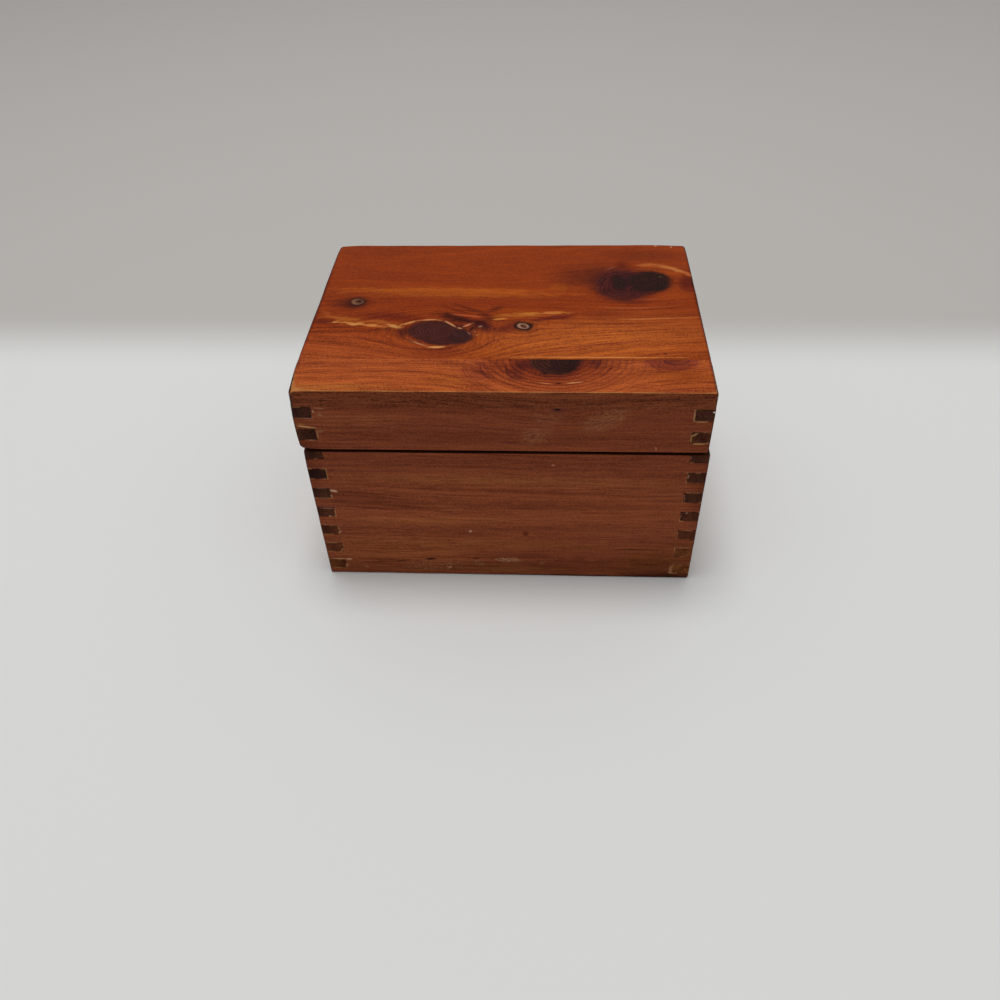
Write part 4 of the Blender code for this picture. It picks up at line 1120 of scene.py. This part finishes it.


# Planed and varnished cedar that was handled for years: browner, duller, scuffed and grimy at the foot, with
# painted shade along the bottom edge.
cedar_front, tree, shader = new_material("varnished_cedar_front")
point = board_point(tree, "front")
flowing, swelling = part_grain(tree, point, FRONT_KNOTS)
figure = figure_at(tree, flowing, (0.0, 120.0, -95.0), (3.0, 9.0, 4.0), swelling, wander=5.0, streaks=0.5,
                   bands=0.5, fibres=0.8, specks=0.8)
colour = lay_marks(tree, linear("9A5131"), point, figure, FRONT_GROUND)
colour = lay_figure(tree, colour, figure, RUSSET, 0.5)
colour = lay_marks(tree, colour, point, figure, FRONT_STAINS, "MULTIPLY")
colour = lay_scuffs(tree, colour, point, figure, SCUFFS)
colour = lay_glue(tree, colour, point, 0)
colour = lay_marks(tree, colour, point, figure, FRONT_MARKS + FINGER_MARKS)
# Darker rounded edges: partly wear, partly painted shade on the eased edges.
colour = lay_edge_wear_and_painted_light(tree, colour, figure, "30150B", 0.6)
varnish(tree, shader, colour, figure)
print("the front walls' material has", len(tree.nodes), "nodes")

# %% [markdown]
# ## The other outside faces
#
# The back and the sides have the same cedar with other rings: only the pith, the seed and a few marks
# change. The front edge of the top boards shows their rings close together, as fine dark streaks that
# dip below the half knot.

# %% Finish the back, the sides, the edges and the panel
EDGE_KNOTS = (((18.5, 92.0), (22.0, 9.0), 0, 0.0, -4.0, 0.0),)


def plain_cedar(name, order, pith, seed, ground="9E5129", long=None, knots=(), line_share=0.6, **look):
    """Planed and varnished cedar for a face without marks of its own: only rings, fibres and sheen."""
    material, tree, shader = new_material(name)
    point = board_point(tree, order)
    flowing, swelling = part_grain(tree, point, knots)
    figure = figure_at(tree, flowing, pith, seed, swelling, **look)
    colour = lay_figure(tree, linear(ground), figure, RUSSET, line_share)
    if long is not None:
        colour = lay_glue(tree, colour, point, long)
    # Darker rounded edges: partly wear, partly painted shade on the eased edges.
    colour = lay_edge_wear_and_painted_light(tree, colour, figure, "30150B", 0.6)
    varnish(tree, shader, colour, figure)
    return material


cedar_back = plain_cedar("varnished_cedar_back", "front", (0.0, 30.0, 95.0), (53.0, 19.0, 14.0), long=0)
cedar_side = plain_cedar("varnished_cedar_side", "side", (0.0, 50.0, 15.0), (93.0, 5.0, 24.0), long=1)
edge_cedar = plain_cedar("varnished_cedar_edge", "front", (0.0, 20.0, -80.0), (41.0, 5.0, 24.0), "8E4C2C",
                         knots=EDGE_KNOTS, line_share=0.35, ring_width=1.1, wander=3.0, streaks=0.5,
                         fibres=1.3, specks=1.2)
cedar_panel = plain_cedar("plain_cedar_panel", "level", (0.0, 10.0, -60.0), (73.0, 3.0, 8.0))

# %% [markdown]
# ## End grain and bare wood
#
# Cut across, the fibres drink the varnish and turn nearly black-brown, with the rings as fine arcs. The
# lowest finger ends are rubbed paler, and a few others are darker or paler than their neighbours.
# Inside, the cedar is bare, so it is paler, pinker and quite matt.

# %% Finish the end grain and the bare wood
PIT_SIZE = 0.45              # millimetres; real fibre ends are far finer, and would not show
RUBBED_ENDS = (
    ((0.0, 20.0), (150.0, 26.0), 0, 0, 0.4, 0.7, "743C20", 0.8),
    ((0.0, 4.0), (150.0, 10.0), 0, 0, 0.4, 0.7, "7E4820", 0.8),
    ((70.0, 9.0), (14.0, 15.0), 0, 0, 0.3, 0.9, "8E5428", 0.9),
    ((70.0, 3.0), (10.0, 6.0), 0, 0, 0.3, 0.9, "A06432", 0.9),
    ((-70.0, 53.0), (14.0, 9.0), 0, 0, 0.3, 0.9, "381A12", 0.9),
    ((-70.0, 83.0), (14.0, 5.0), 0, 0, 0.3, 0.9, "48261A", 0.8),
    ((70.0, 73.0), (14.0, 5.0), 0, 0, 0.3, 0.9, "6E3E26", 0.8),
    ((-70.0, 15.0), (14.0, 5.0), 0, 0, 0.3, 0.9, "8A4E2C", 0.8),
)


def cross_cut(name, order, long, marks):
    """Sawn end grain: its open fibre ends swallow the varnish and the light, so it looks dark and dull."""
    material, tree, shader = new_material(name)
    point = board_point(tree, order)
    parts = add(tree, "SeparateXYZ", [point]).node.outputs
    across = add(tree, "CombineXYZ", [0.0, parts["Y"], parts["X"]])
    figure = figure_at(tree, across, (0.0, 40.0, 30.0), (3.0, 3.0, 8.0), ring_width=1.1, streaks=1.0,
                       bands=1.4)
    colour = lay_marks(tree, linear("56301E"), point, figure, RUBBED_ENDS)
    colour = lay_figure(tree, colour, figure, PURPLE, 0.8)
    pits = add(tree, "TexNoise", {"Vector": point, "Scale": 1 / PIT_SIZE, "Detail": 3.0}, out="Fac")
    pits = add(tree, "MapRange", {"Value": pits, "From Min": 0.5, "From Max": 0.35, "To Max": 0.6})
    colour = add(tree, "Mix", {"Factor": pits, MIX_A: colour, MIX_B: linear("A09088")}, **COLOUR_MIX,
                 blend_type="MULTIPLY")
    colour = lay_glue(tree, colour, point, long)
    colour = lay_marks(tree, colour, point, figure, marks)
    varnish(tree, shader, colour, figure, roughness=0.6)
    return material


def bare_cedar(name, order):
    """Planed cedar without varnish: pale, pinkish and matt, with a dry relief."""
    material, tree, shader = new_material(name)
    point = board_point(tree, order)
    figure = figure_at(tree, point, (0.0, 10.0, -60.0), (23.0, 3.0, 8.0))
    colour = lay_figure(tree, linear("D09C78"), figure, "C8A0A0", 0.8)
    varnish(tree, shader, colour, figure, roughness=0.75, relief=0.12 * MM, shine=0.2)
    return material


END_CEDARS = {0: cross_cut("cedar_end_grain_sideways", "side", 1, ()),
              1: cross_cut("cedar_end_grain", "front", 0, FINGER_MARKS)}
BARE_CEDARS = {0: bare_cedar("bare_cedar", "front"), 1: bare_cedar("bare_cedar_sides", "side")}
bare_underside = bare_cedar("bare_cedar_level", "level")
# Dark sawn rims: painted shade, standing for the shade in the gap between lid and base.
cedar_rim = plain_cedar("sawn_cedar_rim_painted_shade", "level", (0.0, 10.0, -60.0), (73.0, 3.0, 8.0), "4A2818")

# %% [markdown]
# ## The walls
#
# All eight walls are made in one way, and only three things differ: which axis is the thickness, which
# fingers are a wall's own, and whether it holds the hinges. A saw cut the glued frame in two, so a
# lid wall's fingers go on with the count where the base wall's stop. The back walls also have a shallow
# mortise for each hinge leaf, left out while the wall is pulled to its thickness.

# %% Make the walls
LEAF_FIT = 0.08 * MM          # between a leaf and the wood that it is let into
LEAF_THICK = 0.9 * MM
LENGTH_STEP = 6 * MM


def mortises(body):
    """The low and high corner of each leaf of this body, grown by the fit."""
    room = Vector((LEAF_FIT, LEAF_FIT, LEAF_FIT))
    leaves = [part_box(f"hinge_{side}_{body}_leaf") for side in ("left", "right")]
    return [(leaf_low - room, leaf_high + room) for leaf_low, leaf_high in leaves]


def leaf_floor(body):
    """The height to which the leaves of this body are let in."""
    screw_low, screw_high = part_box(f"hinge_left_{body}_screw_a")
    face = screw_high.z if body == "base" else screw_low.z
    return face - LEAF_THICK - LEAF_FIT if body == "base" else face + LEAF_THICK + LEAF_FIT


def carve_mortises(bm, body, rim, inner):
    """Pull a back wall to its thickness, but leave out the wood where the leaves lie."""
    floor_height = leaf_floor(body)
    zones = mortises(body)
    cut(bm, 2, floor_height)
    for zone_low, zone_high in zones:
        cut(bm, 0, zone_low.x)
        cut(bm, 0, zone_high.x)
    behind = zones[0][0].y
    outside = pull(bm, bm.faces[:], 1, behind - inner, keep=True)
    solid = []
    for cell in outside:
        middle = cell.calc_center_median()
        in_length = any(zone_low.x < middle.x < zone_high.x for zone_low, zone_high in zones)
        if not (in_length and min(floor_height, rim) < middle.z < max(floor_height, rim)):
            solid.append(cell)
    pull(bm, solid, 1, inner + WALL - behind, keep=False)


def is_own(number, has_lowest):
    """Whether a finger, counted from the foot of the uncut frame, is this wall's own."""
    return (number % 2 == 0) == has_lowest


def make_wall(body, side, face):
    """One wall of the base or the lid."""
    node = f"{body}_{side}_wall"
    low, high = (corner.copy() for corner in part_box(node))
    box_low, box_high = outer[body]
    thick = 1 if side in ("front", "back") else 0
    long = 1 - thick
    outward = -1 if side in ("front", "left") else 1
    has_lowest = thick == 0
    inner = low[thick] if outward > 0 else high[thick]
    low[long], high[long] = box_low[long], box_high[long]
    bm = sheet(low, high, thick, inner)

    notch = WALL + SEAM
    for step in EASE_STEPS:
        cut(bm, long, low[long] + step)
        cut(bm, long, high[long] - step)
    for inset in (notch, notch + GROOVE_WIDTH, WALL - SEAM - GROOVE_WIDTH, WALL - SEAM):
        cut(bm, long, low[long] + inset)
        cut(bm, long, high[long] - inset)
    steps = int((high[long] - low[long]) / LENGTH_STEP)
    for number in range(2, steps - 1):
        cut(bm, long, low[long] + number * (high[long] - low[long]) / steps)
    for number in range(FINGER_COUNT + 1):
        edge = foot[body] + number * FINGER
        inside = 1 if is_own(number, has_lowest) else -1
        for shift in (SEAM, SEAM + GROOVE_WIDTH):
            place = edge + inside * shift
            if low.z + HEAL < place < high.z - HEAL:
                cut(bm, 2, place)
    rim = high.z if body == "base" else low.z
    for step in RIM_STEPS:
        cut(bm, 2, rim - step if body == "base" else rim + step)

    waste = []
    for face_cell in bm.faces:
        middle = face_cell.calc_center_median()
        number = math.floor((middle.z - foot[body]) / FINGER)
        in_from_end = min(middle[long] - low[long], high[long] - middle[long])
        if not is_own(number, has_lowest) and in_from_end < notch:
            waste.append(face_cell)
    bmesh.ops.delete(bm, geom=waste, context="FACES")
    if side == "back":
        carve_mortises(bm, body, rim, inner)
    else:
        pull(bm, bm.faces[:], thick, outward * WALL, keep=True)
    outside = box_low[thick] if outward < 0 else box_high[thick]
    for step in EASE_STEPS:
        cut(bm, thick, outside - outward * step)
    materials = [face, END_CEDARS[long], BARE_CEDARS[long], cedar_rim]
    return finish_board(node + "_cedar", bm, body, node, materials, long, (thick, inner))


walls = {"front": cedar_front, "back": cedar_back, "left": cedar_side, "right": cedar_side}
for body in ("base", "lid"):
    for side, face in walls.items():
        make_wall(body, side, face)

# %% [markdown]
# ## The top and the bottom
#
# Two boards glued edge to edge make the top, and a thin panel closes the bottom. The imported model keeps
# a thin gap where the glue goes, and the boards are grown over it. The two top boards each grow over
# half of the gap between them, and the top and the panel over the whole gap to the walls.

# %% Make the top boards and the bottom panel
TOP_STEP = 2.5 * MM


def make_level_board(node, face, edge, grown):
    """A flat board; grown says how far its box grows on its glued sides."""
    body = "base" if node.startswith("base") else "lid"
    low, high = (corner.copy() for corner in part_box(node))
    box_low, box_high = outer[body]
    low += Vector(grown[0])
    high += Vector(grown[1])
    bm = sheet(low, high, 2, low.z)
    for axis in (0, 1):
        for step in EASE_STEPS:
            for place in (box_low[axis] + step, box_high[axis] - step):
                if low[axis] < place < high[axis]:
                    cut(bm, axis, place)
        steps = int((high[axis] - low[axis]) / TOP_STEP)
        for number in range(1, steps):
            place = low[axis] + number * (high[axis] - low[axis]) / steps
            if box_low[axis] + EASE_STEPS[-1] < place < box_high[axis] - EASE_STEPS[-1]:
                cut(bm, axis, place)
    pull(bm, bm.faces[:], 2, high.z - low.z, keep=True)
    for step in LEVEL_STEPS:
        cut(bm, 2, box_high.z - step if body == "lid" else box_low.z + step)
    inner = (2, low.z if body == "lid" else high.z)
    materials = [face, END_CEDARS[0], bare_underside, edge]
    return finish_board(node + "_cedar", bm, body, node, materials, 0, inner)


drop = lid_walls[1].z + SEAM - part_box("lid_top_rear_board")[0].z
close = (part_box("lid_top_rear_board")[0].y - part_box("lid_top_front_board")[1].y) / 2 - SEAM
rise = base_walls[0].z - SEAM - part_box("base_bottom_panel")[1].z
make_level_board("lid_top_rear_board", cedar_rear, edge_cedar,
                 ((0, -close, drop), (0, 0, 0)))
make_level_board("lid_top_front_board", cedar_front_top, edge_cedar,
                 ((0, 0, drop), (0, close, 0)))
make_level_board("base_bottom_panel", cedar_panel, cedar_front,
                 ((0, 0, 0), (0, 0, rise)))

# %% [markdown]
# ## The hinges
#
# Two small stamped brass hinges sit in the back walls, where the photograph can't see them. They are
# copied from the imported model, because every hole and knuckle of theirs matters to the fit. Each copy
# gets a fine bevel. The brass is old: brown in patches, with fine brighter scratches.

# %% Finish and copy the brass
BRASS_BEVEL = 0.06 * MM
BRASS_EDGE = math.radians(40)
LEVEL = math.radians(1)       # faces that meet flatter than this are one face
BLOTCH_SCALE = 0.35 / MM
SCRATCH_SCALES = (0.3 / MM, 3.0 / MM, 3.0 / MM)
SCRATCH_SHARE = 0.35

# Stamped brass, never polished since: brown in patches, with fine scratches where it still shines.
brass, tree, shader = new_material("dull_tarnished_brass")
place = add(tree, "TexCoord", out="Object")
patchy = add(tree, "TexNoise", {"Vector": place, "Scale": BLOTCH_SCALE, "Detail": 4.0, "Roughness": 0.6},
             out="Fac")
scratched = add(tree, "VectorMath", [place, SCRATCH_SCALES], operation="MULTIPLY")
scratched = add(tree, "TexNoise", {"Vector": scratched, "Scale": 1.0, "Detail": 2.0}, out="Fac")
tarnish = add(tree, "Math", [scratched, SCRATCH_SHARE, patchy], operation="MULTIPLY_ADD")
colour = add(tree, "ValToRGB", [tarnish], stops=((0.45, "6E4E1E"), (0.62, "A07C3A"), (0.85, "C09A52")))
dull = add(tree, "MapRange", {"Value": tarnish, "From Min": 0.45, "From Max": 0.85, "To Min": 0.5,
                              "To Max": 0.3})
tree.links.new(colour, shader.inputs["Base Color"])
tree.links.new(dull, shader.inputs["Roughness"])
shader.inputs["Metallic"].default_value = 1.0


def copy_brass(node):
    """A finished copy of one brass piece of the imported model, standing at the origin."""
    source = frame["nodes"][node]
    bm = bmesh.new()
    bm.from_mesh(source.data)
    bm.transform(source.matrix_world)
    bmesh.ops.remove_doubles(bm, verts=bm.verts, dist=HEAL)
    flat = [edge for edge in bm.edges if edge.is_manifold and edge.calc_face_angle() < LEVEL]
    bmesh.ops.dissolve_edges(bm, edges=flat, use_verts=True)
    edges = [edge for edge in bm.edges if edge.is_manifold and edge.calc_face_angle() > BRASS_EDGE]
    bmesh.ops.bevel(bm, geom=edges, offset=BRASS_BEVEL, segments=2, profile=0.5, affect="EDGES", material=-1,
                    clamp_overlap=True)
    mesh = bpy.data.meshes.new(node + "_brass")
    open_edges = sum(not edge.is_manifold for edge in bm.edges)
    bm.to_mesh(mesh)
    bm.free()
    mesh.materials.append(brass)
    mesh.shade_smooth()
    mesh.set_sharp_from_angle(angle=SMOOTH)
    piece = bpy.data.objects.new(node + "_brass", mesh)
    bpy.context.scene.collection.objects.link(piece)
    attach(piece, "lid" if "_lid_" in node else "base")
    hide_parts(node)
    print(f"{node}: {len(mesh.polygons)} faces, {open_edges} open edges")


for node in frame["nodes"]:
    if node.startswith("hinge_"):
        copy_brass(node)

# %% Print how far the box's corners moved and finish
seen_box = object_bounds()
for cad_corner, seen_corner in zip(cad_box, seen_box):
    print("a corner moved by", [round(value / MM, 3) for value in seen_corner - cad_corner], "mm")
